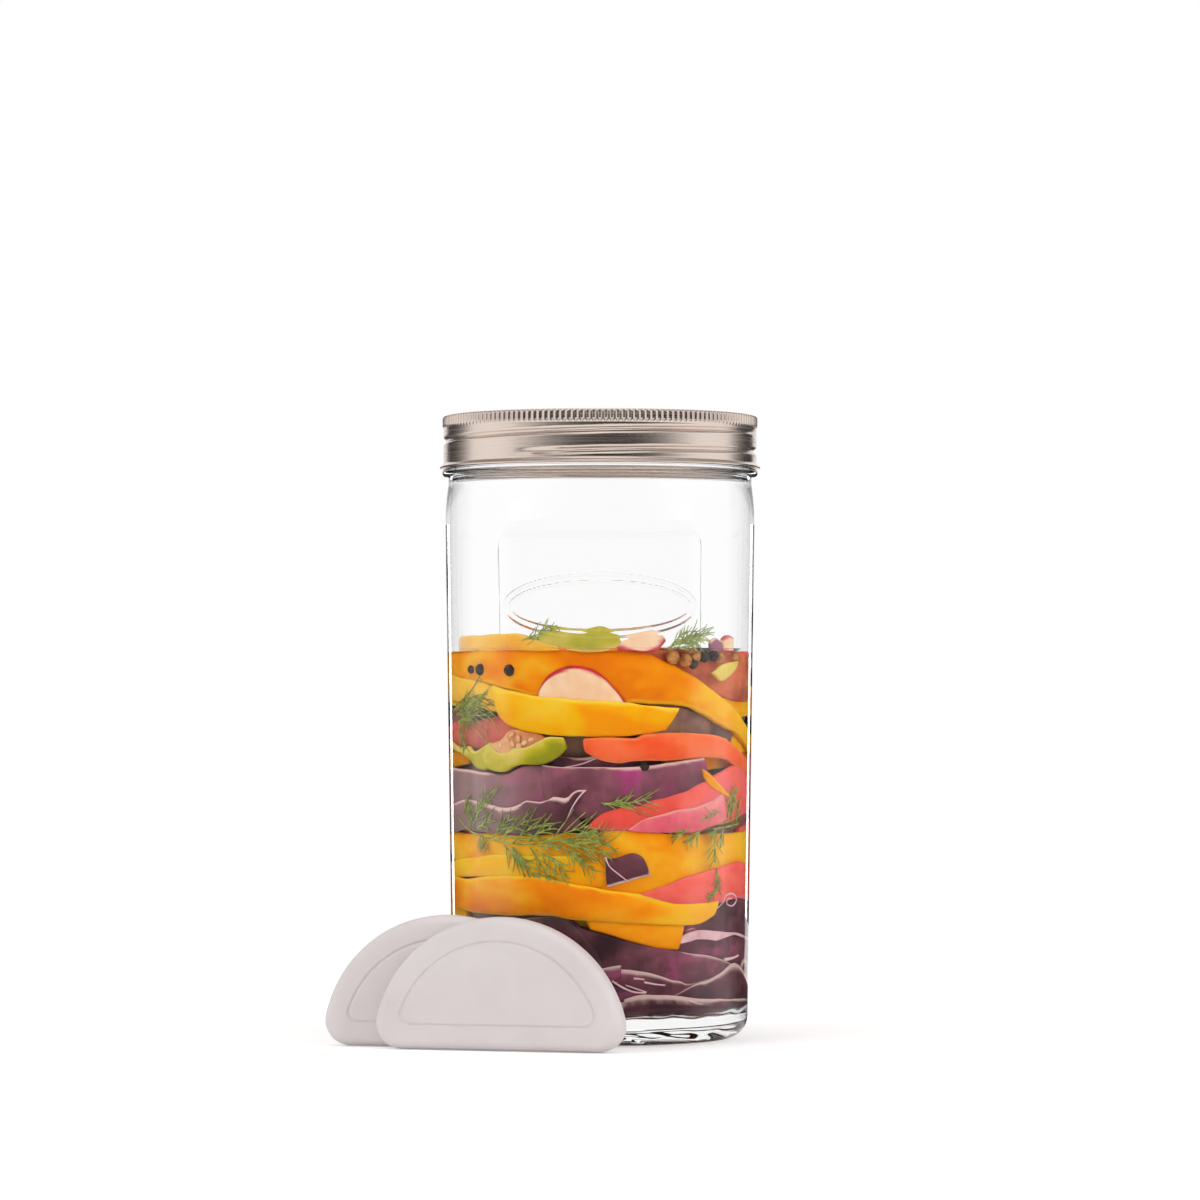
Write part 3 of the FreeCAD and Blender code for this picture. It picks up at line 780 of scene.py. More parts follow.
def make_jar():
    outside = jar_outside()
    rows = outside + inside_wall()

    def shape(azimuth, radius, height, row):
        if row >= len(outside):
            spot = place(azimuth, radius, height)
            low = smoothstep(FLOOR + INNER_CORNER, FLOOR, height)
            radius += WALL_WAVE * noise.noise(spot / WALL_WAVE_SIZE)
            height += low * BASE_WAVE * noise.noise(spot / BASE_WAVE_SIZE)
        elif height == 0 and radius < FOOT_OUTER:
            height = STIPPLE_RISE * (0.5 + 0.5 * math.cos(math.radians(azimuth * STIPPLES)))
        elif HEEL < height < BODY_TOP_HEIGHT:
            radius += panel_relief(azimuth, height) + frame_relief(azimuth, height)
        elif BEAD_TOP < height < RIM_LOW:
            thread = (JAR_THREAD_START, JAR_THREAD_LOW, JAR_THREAD_BASE, JAR_THREAD_TIP, THREAD_FADE)
            radius += JAR_THREAD_CREST * ridge(azimuth, height, *thread)
        return place(azimuth, radius, height)

    points, faces, face_rows = lathe(rows, jar_columns(), shape)
    wet = [int(row >= len(outside) and rows[row + 1][1] < BRINE_LEVEL - WET_MARGIN) for row in face_rows]
    jar = make_object("clear_glass_jar", points, faces, ["jar_glass", "wet_glass"], face_slots=wet)
    settle(jar, "jar", "jar_glass", "glass_jar")


# Brine, with a meniscus where it meets the glass

MENISCUS_RISE = 0.9
MENISCUS_REACH = 3.0
BRINE_GAP = 0.05
BRINE_RISE = 8
BRINE_RINGS = (30, 20, 10, 0)
PLAIN_TURN = 2.5


def make_brine():
    corner = FLOOR + INNER_CORNER
    top = BRINE_LEVEL + MENISCUS_RISE
    rows = [(0, FLOOR + BRINE_GAP)] + arc((CORNER_MIDDLE, corner), INNER_CORNER - BRINE_GAP, -90, 0, 8)
    rows += [(wall_radius(height) - BRINE_GAP, height) for height in spread(corner, top, BRINE_RISE)[1:]]
    sides = len(rows) - 1
    edge = wall_radius(top) - BRINE_GAP
    for share in spread(0.1, 1, 0.1):
        fall = MENISCUS_RISE * (1 - share) ** 2
        rows.append((edge - MENISCUS_REACH * share, BRINE_LEVEL + fall))
    rows += [(radius, BRINE_LEVEL) for radius in BRINE_RINGS]
    points, faces, face_rows = lathe(rows, full_turn(PLAIN_TURN))
    top_faces = [int(row >= sides) for row in face_rows]
    brine = make_object("salt_brine", points, faces, ["brine_side", "brine"], face_slots=top_faces)
    settle(brine, "jar", "brine", "brine")


# Screw band, with flutes round its top and one rolled thread

BAND_THREAD_START = -34
BAND_THREAD_LOW = 177.17
BAND_THREAD_FADE = 26
BAND_GROOVE_MOUTH = 2.2
BAND_GROOVE_TIP = 0.5
BAND_GROOVE_INSIDE = 0.3
FLUTE_DEPTH = 0.42
FLUTE_STEPS = 6
FLUTE_START = (-0.2, 0.4)
EDGE_ROLL = 0.3
FLARE_START = 0.6
FLARE_BOW = 0.9
FLARE_LIP = (0.1, 0.2)
KNURL_FOOT = 0.5
KNURL_ROUND = 1.0
KNURL_MARGIN = 0.8
KNURL_RISE = 0.4
BAND_RISE = 0.35
FLANGE_WIDTH = 6
INNER_FILLET = 0.4
SKIRT_MARGIN = 0.1
SHARP_ANGLE = 55


def band_section():
    """The sheet's section: up the outside from the flare, over the flange and down the inside."""
    flare_top = BAND_LOW + FLARE_HEIGHT
    round_low = BAND_TOP - KNURL_ROUND
    outside = arc((FLARE - EDGE_ROLL, BAND_LOW + EDGE_ROLL), EDGE_ROLL, -90, 60, 4)
    for rise in (0.2, 0.45, 0.7):
        reach = (FLARE - SKIRT) * (1 - rise) ** 2 * FLARE_BOW
        outside.append((SKIRT + reach, BAND_LOW + FLARE_START + rise))
    outside += [(SKIRT, height) for height in spread(flare_top, KNURL_LOW - KNURL_FOOT, BAND_RISE)]
    outside += [(KNURL, height) for height in spread(KNURL_LOW, round_low, KNURL_RISE)]
    outside += arc((KNURL - KNURL_ROUND, round_low), KNURL_ROUND, 0, 90, 6)[1:]
    outside += [(FLANGE + EDGE_ROLL + FLANGE_WIDTH * share, BAND_TOP) for share in (1, 0.5, 0)]
    inner = SKIRT - SHEET
    under = BAND_TOP - SHEET
    inside = [(FLANGE, BAND_TOP - EDGE_ROLL), (FLANGE + EDGE_ROLL, under)]
    inside += [(inner - INNER_FILLET, under), (inner, under - INNER_FILLET)]
    inside += [(inner, height) for height in spread(flare_top, KNURL_LOW, BAND_RISE)[::-1]]
    inside.append((FLARE - SHEET - FLARE_LIP[0], BAND_LOW + FLARE_LIP[1]))
    return outside, inside


def make_band():
    outside, inside = band_section()

    def shape(azimuth, radius, height, row):
        outer = row < len(outside)
        if outer and radius > SKIRT - KNURL_MARGIN and height >= KNURL_LOW:
            crest = 0.5 - 0.5 * math.cos(math.radians(azimuth * FLUTES))
            held = smoothstep(BAND_TOP, BAND_TOP - KNURL_ROUND, height)
            held *= smoothstep(KNURL_LOW + FLUTE_START[0], KNURL_LOW + FLUTE_START[1], height)
            radius -= FLUTE_DEPTH * (1 - crest) * held
        elif BAND_LOW + FLARE_HEIGHT <= height < KNURL_LOW and radius > SKIRT - SHEET - SKIRT_MARGIN:
            mouth = BAND_GROOVE_MOUTH + (0 if outer else BAND_GROOVE_INSIDE)
            thread = (BAND_THREAD_START, BAND_THREAD_LOW, mouth, BAND_GROOVE_TIP, BAND_THREAD_FADE)
            radius -= BAND_THREAD_DEPTH * ridge(azimuth, height, *thread)
        return place(azimuth, radius, height)

    azimuths = full_turn(360 / (FLUTES * FLUTE_STEPS))
    points, faces, _ = lathe(outside + inside, azimuths, shape, loop=True)
    band = make_object("steel_screw_band", points, faces, ["band_steel"], sharp=SHARP_ANGLE)
    settle(band, "band", "band_steel", "screw_band")


# Lid disc, stamped with two rings round the airlock: radius, half width and rise of each

DISC_RADIUS = 46.3
PORT_RADIUS = 9
DISC_STEP = 0.35
STAMPED_RINGS = ((17.5, 1.6, 0.35), (33.5, 2.0, 0.42))


def stamped(radius):
    """How far the sheet is pressed up at a radius."""
    return sum(rise * line_bump(radius - middle, half) for middle, half, rise in STAMPED_RINGS)


def make_disc():
    low, high = (corner.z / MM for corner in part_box("lid_disc"))
    radii = spread(PORT_RADIUS, DISC_RADIUS, DISC_STEP)
    rows = [(radius, high + stamped(radius)) for radius in radii]
    rows += [(radius, low + stamped(radius)) for radius in radii[::-1]]
    points, faces, _ = lathe(rows, full_turn(PLAIN_TURN), loop=True)
    disc = make_object("pressed_lid_disc", points, faces, ["disc_steel"], sharp=SHARP_ANGLE)
    settle(disc, "lid", "disc_steel", "lid_disc")


# CAD pieces that stay, with their looks

DRESSED_NODES = {
    "rim_seal": "seal_silicone",
    "airlock_seat": "airlock_silicone",
    "airlock_flap": "airlock_silicone",
}


def dress_nodes():
    for node, look in DRESSED_NODES.items():
        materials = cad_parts[node].data.materials
        materials.clear()
        materials.append(LOOKS[look])


# Ceramic weights

WEIGHT_RADIUS = 39
WEIGHT_CORNER = 7.5
WEIGHT_EDGE = 2.6
WEIGHT_ANGLE = 16
WEIGHT_THICK = 8
BORDER_INSET = 7.2
BORDER_HALF = 0.55
BORDER_DEPTH = 0.4
BORDER_MARGIN = 0.3
LEAST_CORNER = 3.0
LEAST_SQUARE = 0.01
FLAT_STEPS = 24
CORNER_STEPS = 12
BOW_STEPS = 72
OUTER_INSETS = (4.2,)
INNER_INSETS = (11, 14, 16.5)


def half_moon(inset, height):
    """Outline of the slab's face, moved in by an inset, as points across and up."""
    corner = max(WEIGHT_CORNER - inset, LEAST_CORNER)
    middle = height - WEIGHT_RADIUS
    reach = WEIGHT_RADIUS - inset - corner
    drop = inset + corner - middle
    across = math.sqrt(max(reach**2 - drop**2, LEAST_SQUARE))
    lean = math.degrees(math.atan2(drop, across))
    points = [(-across + 2 * across * i / FLAT_STEPS, inset) for i in range(FLAT_STEPS)]
    points += arc((across, inset + corner), corner, -90, lean, CORNER_STEPS)[:-1]
    points += arc((0, middle), WEIGHT_RADIUS - inset, lean, 180 - lean, BOW_STEPS)[:-1]
    points += arc((-across, inset + corner), corner, 180 - lean, 270, CORNER_STEPS)[:-1]
    return points


def weight_face():
    """Insets and depths from the middle of the edge to the middle of a face."""
    steps = []
    for degrees in range(0, 91, 15):
        angle = math.radians(degrees)
        steps.append((WEIGHT_EDGE * (1 - math.cos(angle)), WEIGHT_EDGE * (1 - math.sin(angle))))
    steps += [(inset, 0) for inset in (*OUTER_INSETS, BORDER_INSET - BORDER_HALF - BORDER_MARGIN)]
    for share in spread(-1, 1, 0.25):
        steps.append((BORDER_INSET + BORDER_HALF * share, BORDER_DEPTH * line_bump(share, 1)))
    steps += [(inset, 0) for inset in (BORDER_INSET + BORDER_HALF + BORDER_MARGIN, *INNER_INSETS)]
    return steps


def make_weight(name, node, body):
    low, high = (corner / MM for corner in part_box(node))
    height = high.z - low.z
    half = WEIGHT_THICK / 2
    face = [(inset, depth - half) for inset, depth in weight_face()]
    levels = face[::-1] + [(inset, -level) for inset, level in face]
    loops = [[Vector((x, level, z)) for x, z in half_moon(inset, height)] for inset, level in levels]
    points, faces = loft(loops)
    turn = Matrix.Rotation(math.radians(-WEIGHT_ANGLE), 3, "Z")
    middle = Vector(((low.x + high.x) / 2, (low.y + high.y) / 2, low.z))
    weight = make_object(name, [turn @ p + middle for p in points], faces, ["weight_ceramic"])
    settle(weight, body, "weight_ceramic", node)


# Vegetables pressed against the glass

AROUND = 28
SQUARENESS = 0.5
END_STEPS = ((0.10, 1.0), (0.5, 0.88), (0.82, 0.55))
PACK_RADIUS = 43
MM_PER_DEGREE = PACK_RADIUS * math.pi / 180
STRIP_STEP = 1.1
STRIP_COUNTS = (12, 150)
TUCK_START = 84
TUCK_END = 112
LEAST_GAP = 0.12

# How fast a piece's waves, edges, dents and cut edges vary, and how far the cut edges do

FOLD_RATE = 0.11
FOLD_MEAN = 0.6
WANDER_RATE = (0.14, 2.2)
DENT_RATE = (0.16, 0.2)
SWAY_RATE = 0.09
FRAY_RATE = 0.31
RIM_MEAN = 0.8
RIM_SWAY = 0.9
RIM_FRAY = 0.3
LEAST_RIM = 0.12
EDGING_FRAY = 0.35
EDGING_FADE = 6
LEAST_EDGING = 0.02


def rounded(value):
    """A coordinate of a rounded square for one of a circle."""
    return math.copysign(abs(value) ** SQUARENESS, value)


def drift(x, y, z):
    return noise.noise(Vector((x, y, z)))


def along(share, stops):
    """A value at a share of the length, between the values at given shares."""
    for (start, first), (end, second) in zip(stops, stops[1:]):
        if start <= share <= end:
            return first + (second - first) * smoothstep(start, end, share)
    return 0


def rim_width(azimuth, seed, edged):
    """Which share of a cut edge's width shows at an azimuth."""
    fray = drift(azimuth * FRAY_RATE, seed, 9)
    if edged is not None:
        return max(LEAST_EDGING, edged * (1 + EDGING_FRAY * fray))
    return max(LEAST_RIM, RIM_MEAN + RIM_SWAY * drift(azimuth * SWAY_RATE, seed, 3) + RIM_FRAY * fray)


def wall_strip(
    name, top, bottom, gap, thick, fold=0.0, ripple=0.25, rims=(0, 0), soft=0.35, end=0.8, sinks=(),
    face=0.18, tones=(), slope=0.0, tuck=0.0, edging=()
):
    """Points, faces and marks of a piece that lies against the inside of the glass.

    top and bottom are its edges, as azimuths and heights, and gap is its distance from the glass. fold is the
    depth of its waves, ripple how far its edges wander, rims how wide its top and bottom cut edges show, soft
    how gently they end, end how far its ends bulge, face how dented it is, slope how much paler its top is
    than its foot, and tuck how far it goes in behind the others past the sides. sinks, tones and edging say
    how deep and pale it is and which share of its cut edges shows, at shares of its length."""
    seed = sum(map(ord, name)) % 97
    length = max(abs(top[-1][0] - top[0][0]), abs(bottom[-1][0] - bottom[0][0])) * MM_PER_DEGREE
    least, most = STRIP_COUNTS
    count = max(least, min(most, int(length / STRIP_STEP)))
    tops = curve(top, count)
    bottoms = curve(bottom, count)
    stations = [(0, keep, -push) for keep, push in END_STEPS]
    stations += [(i, 1, 0) for i in range(count)]
    stations += [(count - 1, keep, push) for keep, push in END_STEPS[::-1]]
    loops = []
    rim = []
    lean = []
    tone = []
    for i, keep, push in stations:
        share = i / (count - 1)
        high, low = tops[i], bottoms[i]
        ahead, behind = min(i + 1, count - 1), max(i - 1, 0)
        step = (tops[ahead] + bottoms[ahead]) / 2
        step -= (tops[behind] + bottoms[behind]) / 2
        step = Vector((step.x * MM_PER_DEGREE, step.y)).normalized() * push * end
        tall = math.hypot((high.x - low.x) * MM_PER_DEGREE, high.y - low.y)
        wave = fold * drift(high.x * FOLD_RATE, seed, 0)
        tucked = tuck * smoothstep(TUCK_START, TUCK_END, abs(high.x))
        deep = gap + along(share, sinks) + wave + fold * FOLD_MEAN + tucked
        paler = along(share, tones)
        edged = along(share, edging) if edging else None
        shown = 1 if edged is None else min(1, edged * EDGING_FADE)
        loop = []
        for j in range(AROUND):
            angle = 2 * math.pi * j / AROUND
            across = 0.5 - 0.5 * keep * rounded(math.cos(angle))
            depth = thick * (0.5 - 0.5 * keep * rounded(math.sin(angle)))
            spot = high.lerp(low, across)
            azimuth = spot.x + step.x / MM_PER_DEGREE
            height = spot.y + step.y
            wander = drift(azimuth * WANDER_RATE[0], across * WANDER_RATE[1], seed + 0.5)
            height += ripple * wander * abs(across - 0.5) * 2
            dent = face * drift(azimuth * DENT_RATE[0], height * DENT_RATE[1], seed + 7)
            loop.append(place(azimuth, wall_radius(height) - max(deep + depth + dent, LEAST_GAP), height))
            wide = rim_width(azimuth, seed, edged)
            upper = 1 - across * tall / (rims[0] * wide) if rims[0] else 0
            lower = 1 - (1 - across) * tall / (rims[1] * wide) if rims[1] else 0
            rim.append(smoothstep(0, soft, max(upper, lower)) * shown)
            # lean marks how far down the piece a point lies; the materials darken by it, a painted shade
            # towards the lower edge
            lean.append(across)
            tone.append(paler + slope * (0.5 - across))
        loops.append(loop)
    points, faces = loft(loops)
    rim += [rim[0], rim[-1]]
    lean += [0.5, 0.5]
    tone += [tone[0], tone[-1]]
    return points, faces, {"rim": rim, "lean": lean, "tone": tone}


OUTLINE_BINS = 9
BIN_OVERLAP = 0.5


def node_outline(node):
    """Top and bottom edges of a CAD piece of the ferment, as azimuths and heights."""
    spots = [v.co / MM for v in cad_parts[node].data.vertices]
    middle = sum((Vector((p.x, p.y)).normalized() for p in spots), Vector((0, 0)))
    centre = math.degrees(math.atan2(middle.x, -middle.y))
    flat = []
    for p in spots:
        azimuth = math.degrees(math.atan2(p.x, -p.y))
        flat.append(((azimuth - centre + 180) % 360 - 180, p.z))
    low = min(azimuth for azimuth, _ in flat)
    span = max(azimuth for azimuth, _ in flat) - low
    top, bottom = [], []
    for i in range(OUTLINE_BINS):
        start = low + span * i / OUTLINE_BINS - BIN_OVERLAP
        end = low + span * (i + 1) / OUTLINE_BINS + BIN_OVERLAP
        heights = [height for azimuth, height in flat if start <= azimuth <= end]
        if heights:
            azimuth = centre + low + span * i / (OUTLINE_BINS - 1)
            top.append((azimuth, max(heights)))
            bottom.append((azimuth, min(heights)))
    return top, bottom


# How a piece closes past the side of the view: shares of the way and of its height there

TIP_STEPS = ((0.55, 0.95), (0.85, 0.75), (1, 0.3))
TUCK = 4.2


def led_on(top, bottom, left=None, right=None):
    """Both edges led on past the sides of the view to tips, each at an azimuth and a change of height."""
    for tip, last in ((left, 0), (right, -1)):
        if not tip:
            continue
        azimuth, change = tip
        starts = (top[last][0], bottom[last][0])
        middle = (top[last][1] + bottom[last][1]) / 2
        half = (top[last][1] - bottom[last][1]) / 2
        for share, keep in TIP_STEPS:
            level = middle + change * share
            over = (starts[0] + (azimuth - starts[0]) * share, level + half * keep)
            under = (starts[1] + (azimuth - starts[1]) * share, level - half * keep)
            top = top + [over] if last else [over] + top
            bottom = bottom + [under] if last else [under] + bottom
    return top, bottom


# Each row: piece, slot, top and bottom edges in the photo's pixels, gap to the glass, thickness and the
# rest of its form, with its tips at the left and the right as an azimuth and a change of height

PRESSED_PIECES = (
    ("orange_pepper_strip_high", "pepper_orange",
     ((456, 647), (490, 646), (530, 646), (570, 646), (610, 648), (644, 652), (664, 660), (685, 669),
      (705, 680), (726, 696), (742, 712)),
     ((456, 680), (490, 686), (530, 697), (580, 703), (640, 704), (680, 704), (705, 712), (726, 726),
      (741, 734)),
     2.2, 3.6, {"rims": (0, 1.6), "ripple": 0.5, "left": (-124, 2), "right": (98, -9),
      "tones": ((0, 0.1), (0.35, 0.04), (0.5, -0.1), (0.66, -0.1), (0.78, 0.2), (1, 0.25)),
      "slope": 0.1}),
    ("orange_pepper_floater", "pepper_amber",
     ((456, 635), (480, 634), (507, 633), (526, 636), (546, 642), (556, 646)),
     ((456, 651), (490, 649), (520, 650), (540, 651), (556, 650)),
     0.4, 3.0, {"rims": (0.8, 0), "left": (-112, -1)}),
    ("amber_pepper_slice", "pepper_amber",
     ((456, 677), (471, 680), (492, 687)),
     ((456, 703), (474, 707), (494, 712)),
     1.0, 2.6, {"rims": (0.8, 0.8), "left": (-104, 3), "tones": ((0, 0.1), (1, 0.1))}),
    ("yellow_pepper_strip_high", "pepper_yellow",
     ((490, 685), (507, 690), (536, 696), (571, 699), (624, 702), (644, 705), (680, 708)),
     ((497, 717), (507, 726), (532, 733), (562, 736), (603, 737), (644, 734), (666, 730)),
     0.35, 3.2, {"rims": (1.9, 0), "soft": 0.8, "end": 0.3, "slope": 0.16,
      "tones": ((0, 0.04), (0.4, -0.05), (0.62, -0.18), (1, -0.3))}),
    ("radish_slice", "radish",
     ((535, 694), (542, 680), (554, 670), (571, 665.5), (589, 668), (603, 676), (615, 688), (627, 702)),
     ((538, 700), (560, 703), (590, 705), (624, 706)),
     1.5, 1.6, {"rims": (1.5, 0), "ripple": 0, "end": 0.3}),
    ("coral_pepper_strip", "pepper_coral",
     ((584, 738), (600, 737), (634, 738), (645, 734), (677, 733), (705, 734), (724, 737), (741, 750)),
     ((586, 753), (601, 760), (620, 763), (634, 761), (664, 761), (705, 758), (726, 760), (740, 768)),
     0.5, 3.2, {"rims": (1.4, 0.9), "soft": 0.8, "face": 0.5, "right": (94, -7),
      "tones": ((0, -0.08), (0.3, -0.05), (0.45, 0.08), (1, 0.05))}),
    ("green_pepper_slice", "pepper_green",
     ((481, 754), (483, 747), (487, 743), (490, 748), (494, 752.5), (501, 753.5), (511, 748.5),
      (524, 747), (535, 742), (546, 737.5), (561, 737)),
     ((481, 760), (484, 768), (491, 772), (503, 772), (511, 767.5), (521, 764.5), (536, 765), (546, 763),
      (557, 757), (565, 749)),
     0.4, 2.8, {"rims": (1.0, 0), "soft": 0.7, "slope": 0.25, "end": 0.4,
      "tones": ((0, 0.2), (0.3, 0.02), (0.5, 0.1), (0.7, 0), (1, -0.1))}),
    ("red_pepper_chunk", "pepper_red",
     ((456, 724), (476, 719), (497, 716), (508, 722)),
     ((456, 748), (476, 750), (500, 746), (512, 738)),
     3.0, 3.0, {"rims": (0.6, 0), "look": "pepper_dull", "left": (-112, -4),
      "tones": ((0, -0.25), (0.4, -0.2), (0.6, 0.05), (1, 0))}),
    # red_cabbage_shred takes the core look, with its painted haze and shade
    ("red_cabbage_shred", "red_cabbage",
     ((648, 702), (680, 704), (712, 714), (742, 730)),
     ((648, 738), (680, 740), (712, 742), (742, 746)),
     5.2, 1.2, {"fold": 1.2, "look": "core"}),
    ("red_cabbage_right", "red_cabbage",
     ((540, 765), (560, 767), (595, 767), (616, 767), (640, 767), (662, 764), (685, 761), (706, 758)),
     ((545, 812), (575, 818), (600, 822), (630, 812), (662, 803), (690, 795), (712, 786)),
     0.8, 1.6, {"fold": 0.7, "rims": (1.2, 0), "soft": 0.7,
      "edging": ((0, 0.3), (0.35, 0.4), (0.5, 1), (1, 0.9)), "slope": 0.12,
      "tones": ((0, -0.06), (0.4, -0.02), (0.52, 0.22), (0.6, 0.02), (0.8, 0.12), (1, 0.1))}),
    ("red_cabbage_left", "red_cabbage",
     ((462, 771), (481, 773), (501, 774), (522, 766), (552, 766)),
     ((462, 832), (490, 835), (530, 836), (582, 830)),
     1.5, 1.6, {"fold": 0.5, "rims": (1.0, 0), "soft": 0.45, "left": (-118, 2),
      "edging": ((0, 1), (0.66, 1), (0.72, 0), (1, 0))}),
    ("red_pepper_strip_mid", "pepper_red",
     ((586, 826), (603, 812), (624, 806), (644, 801), (665, 797), (685, 791), (705, 782), (726, 772),
      (741, 765)),
     ((592, 831), (616, 831), (644, 832), (685, 833), (712, 828), (741, 820)),
     0.9, 2.6, {"rims": (0, 1.6), "soft": 0.8, "right": (114, 5),
      "tones": ((0, -0.35), (0.25, -0.2), (0.5, 0.06), (1, 0.1))}),
    ("orange_pepper_strip_mid", "pepper_orange",
     ((600, 832), (611, 829), (644, 830), (675, 834), (742, 835)),
     ((602, 892), (634, 895), (652, 894), (675, 890), (705, 882), (742, 874)),
     1.2, 3.0, {"rims": (0.6, 0), "sinks": ((0, 0), (0.2, 0), (0.4, 2.4), (1, 2.4)), "right": (122, 2),
      "tones": ((0, 0), (0.2, 0.05), (0.4, 0.25), (1, 0.25))}),
    ("orange_pepper_strip_left", "pepper_orange",
     ((458, 836), (490, 833), (530, 834), (570, 833), (612, 834)),
     ((458, 868), (490, 864), (530, 864), (570, 865), (612, 870)),
     2.2, 2.6, {"left": (-106, 4), "tones": ((0, 0.25), (0.6, 0.2), (1, 0.05))}),
    ("orange_pepper_strip_under", "pepper_orange",
     ((585, 918), (615, 921), (650, 924), (688, 926)),
     ((590, 930), (615, 937), (640, 944), (665, 950), (682, 951)),
     1.5, 2.2, {"end": 0.3, "tones": ((0, -0.2), (0.3, -0.08), (1, 0))}),
    # This floater takes pepper_shade, the red pepper copy with painted shade
    ("red_pepper_floater", "pepper_red",
     ((625, 651), (680, 650.5), (710, 650.5), (742, 651)),
     ((625, 664), (685, 679), (712, 688), (742, 700)),
     5.0, 2.4, {"look": "pepper_shade", "right": (118, -2)}),
    ("yellow_pepper_strip_low", "pepper_yellow",
     ((458, 862), (481, 857), (507, 855), (538, 857), (562, 856), (583, 859), (610, 864)),
     ((458, 880), (481, 879), (507, 879), (538, 879), (562, 883), (583, 886), (612, 889)),
     1.1, 3.0, {"rims": (0.8, 0), "left": (-122, -3), "tones": ((0, 0.1), (0.7, 0.05), (1, -0.15))}),
    ("orange_pepper_strip_low", "pepper_orange",
     ((458, 882), (481, 878), (501, 876), (538, 877), (562, 882), (603, 889), (644, 895), (665, 901),
      (685, 905), (722, 903)),
     ((458, 914), (491, 917), (542, 916), (573, 920), (603, 922), (638, 924), (687, 927), (705, 925),
      (717, 919)),
     0.35, 3.2, {"rims": (1.7, 0.8), "soft": 0.8, "left": (-110, 3),
      "tones": ((0, -0.05), (0.36, 0.03), (0.6, -0.1), (0.72, 0.08), (0.85, 0.25), (1, 0.2)),
      "slope": 0.1}),
    ("red_pepper_strip_low", "pepper_red",
     ((636, 896), (665, 886), (685, 880), (705, 874), (742, 865)),
     ((640, 900), (665, 903), (685, 907), (722, 906), (742, 902)),
     0.8, 2.6, {"rims": (0, 1.2), "right": (106, -3)}),
    ("cabbage_scrap", "red_cabbage",
     ((606, 858), (616, 858), (632, 853), (642, 856), (647, 864), (651, 875)),
     ((607, 887), (614, 885), (622, 883), (630, 881), (640, 878), (650, 876)),
     0.3, 0.8, {"rims": (0, 0.8), "fold": 0.3, "ripple": 0.1, "end": 0.3, "look": "cabbage_bed"}),
    ("green_pepper_floater", "pepper_green",
     ((538, 633), (550, 626), (560, 629), (578, 632), (591, 627), (603, 626), (617, 634)),
     ((541, 644), (560, 649), (579, 651), (600, 651), (620, 647)),
     0.4, 3.0, {"rims": (0, 0.8), "slope": -0.2}),
    ("radish_floater", "radish",
     ((617, 645), (628, 636), (640, 631), (652, 629), (660, 634)),
     ((620, 650), (634, 652), (648, 652), (658, 650), (665, 642)),
     0.4, 1.8, {"rims": (0, 2.2), "ripple": 0.1, "soft": 0.6}),
    ("red_cabbage_left_leaf", "red_cabbage",
     ((462, 801), (475, 803), (488, 805.5), (497, 808), (506, 808), (516, 805), (523, 801), (531, 801.5),
      (540, 802), (550, 797), (556, 797), (565, 798), (571, 793), (577, 790), (585, 790)),
     ((462, 832), (487, 834), (511, 835), (540, 834), (556, 828), (566, 819), (572, 806), (579, 796)),
     0.75, 0.7, {"fold": 0.3, "rims": (1.5, 0), "soft": 0.45, "ripple": 0.1, "end": 0.2,
      "left": (-98, -3), "edging": ((0, 0.5), (0.4, 0.7), (0.52, 1), (0.66, 1), (0.72, 0.4), (0.82, 0.35),
      (0.86, 1), (0.91, 1), (0.95, 0.5), (1, 0.5)),
      "tones": ((0, 0), (0.5, -0.1), (0.7, -0.2), (1, -0.25))}),
    ("red_cabbage_right_sheet", "red_cabbage",
     ((690, 907), (705, 904), (720, 906), (742, 902)),
     ((690, 960), (705, 962), (720, 964), (742, 966)),
     2.9, 0.8, {"look": "cabbage_bed", "fold": 0.4, "rims": (0.5, 0), "right": (116, -4)}),
    ("red_cabbage_rib", "red_cabbage",
     ((682, 944), (687, 937.5), (694, 934), (705, 932), (720, 933.3), (734, 935.7), (742, 936.6)),
     ((682, 945.5), (696, 943.3), (703, 941.4), (713, 942), (723, 943.8), (730, 942), (742, 939.5)),
     2.0, 0.7, {"look": "cabbage_edge", "ripple": 0.1, "end": 0.3, "right": (96, -3)}),
    ("red_pepper_fold", "pepper_red",
     ((629, 829), (642, 821), (656, 816), (676, 811), (696, 808), (712, 802), (725, 795)),
     ((634, 831.5), (660, 833), (690, 833), (712, 829), (729, 821)),
     0.4, 1.6, {"look": "pepper_pink", "rims": (0.7, 0), "soft": 0.6, "end": 0.3}),
    ("green_pepper_lobe", "pepper_green",
     ((458, 748), (465, 747), (470.5, 752), (478, 748), (485, 744)),
     ((458, 755), (465, 760), (471, 767.5), (478, 770), (485, 769)),
     1.0, 2.0, {"rims": (0.8, 0), "soft": 0.7, "slope": 0.25, "left": (-92, 3),
      "tones": ((0, 0.2), (1, 0.08))}),
    ("green_pepper_bit", "pepper_green",
     ((713, 672), (722, 665), (731, 662), (739, 661)),
     ((716, 675), (723, 681), (731, 676), (737, 668)),
     0.5, 1.6, {"rims": (0.6, 0), "end": 0.3, "tones": ((0, 0.25), (1, 0.15))}),
    ("orange_pepper_bit", "pepper_orange",
     ((704, 770), (711, 774), (720, 784), (731, 796)),
     ((705, 777), (712, 787), (722, 793), (730, 798)),
     0.35, 1.2, {"rims": (0.5, 0), "end": 0.2}),
    ("radish_bit", "radish",
     ((726, 637), (730, 634), (736, 636)),
     ((726, 651), (731, 652), (736, 651)),
     0.6, 1.4, {"rims": (1.2, 1.2), "end": 0.3}),
    ("cabbage_bit", "red_cabbage",
     ((712, 641), (717, 637), (723, 640)),
     ((713, 650), (718, 651), (724, 649)),
     0.6, 1.2, {"rims": (0.8, 0), "end": 0.3}),
    ("pepper_placenta", "pepper_green",
     ((488, 743), (494, 741), (498, 739), (502, 734), (509, 730.5), (519, 731), (533, 734), (545, 738)),
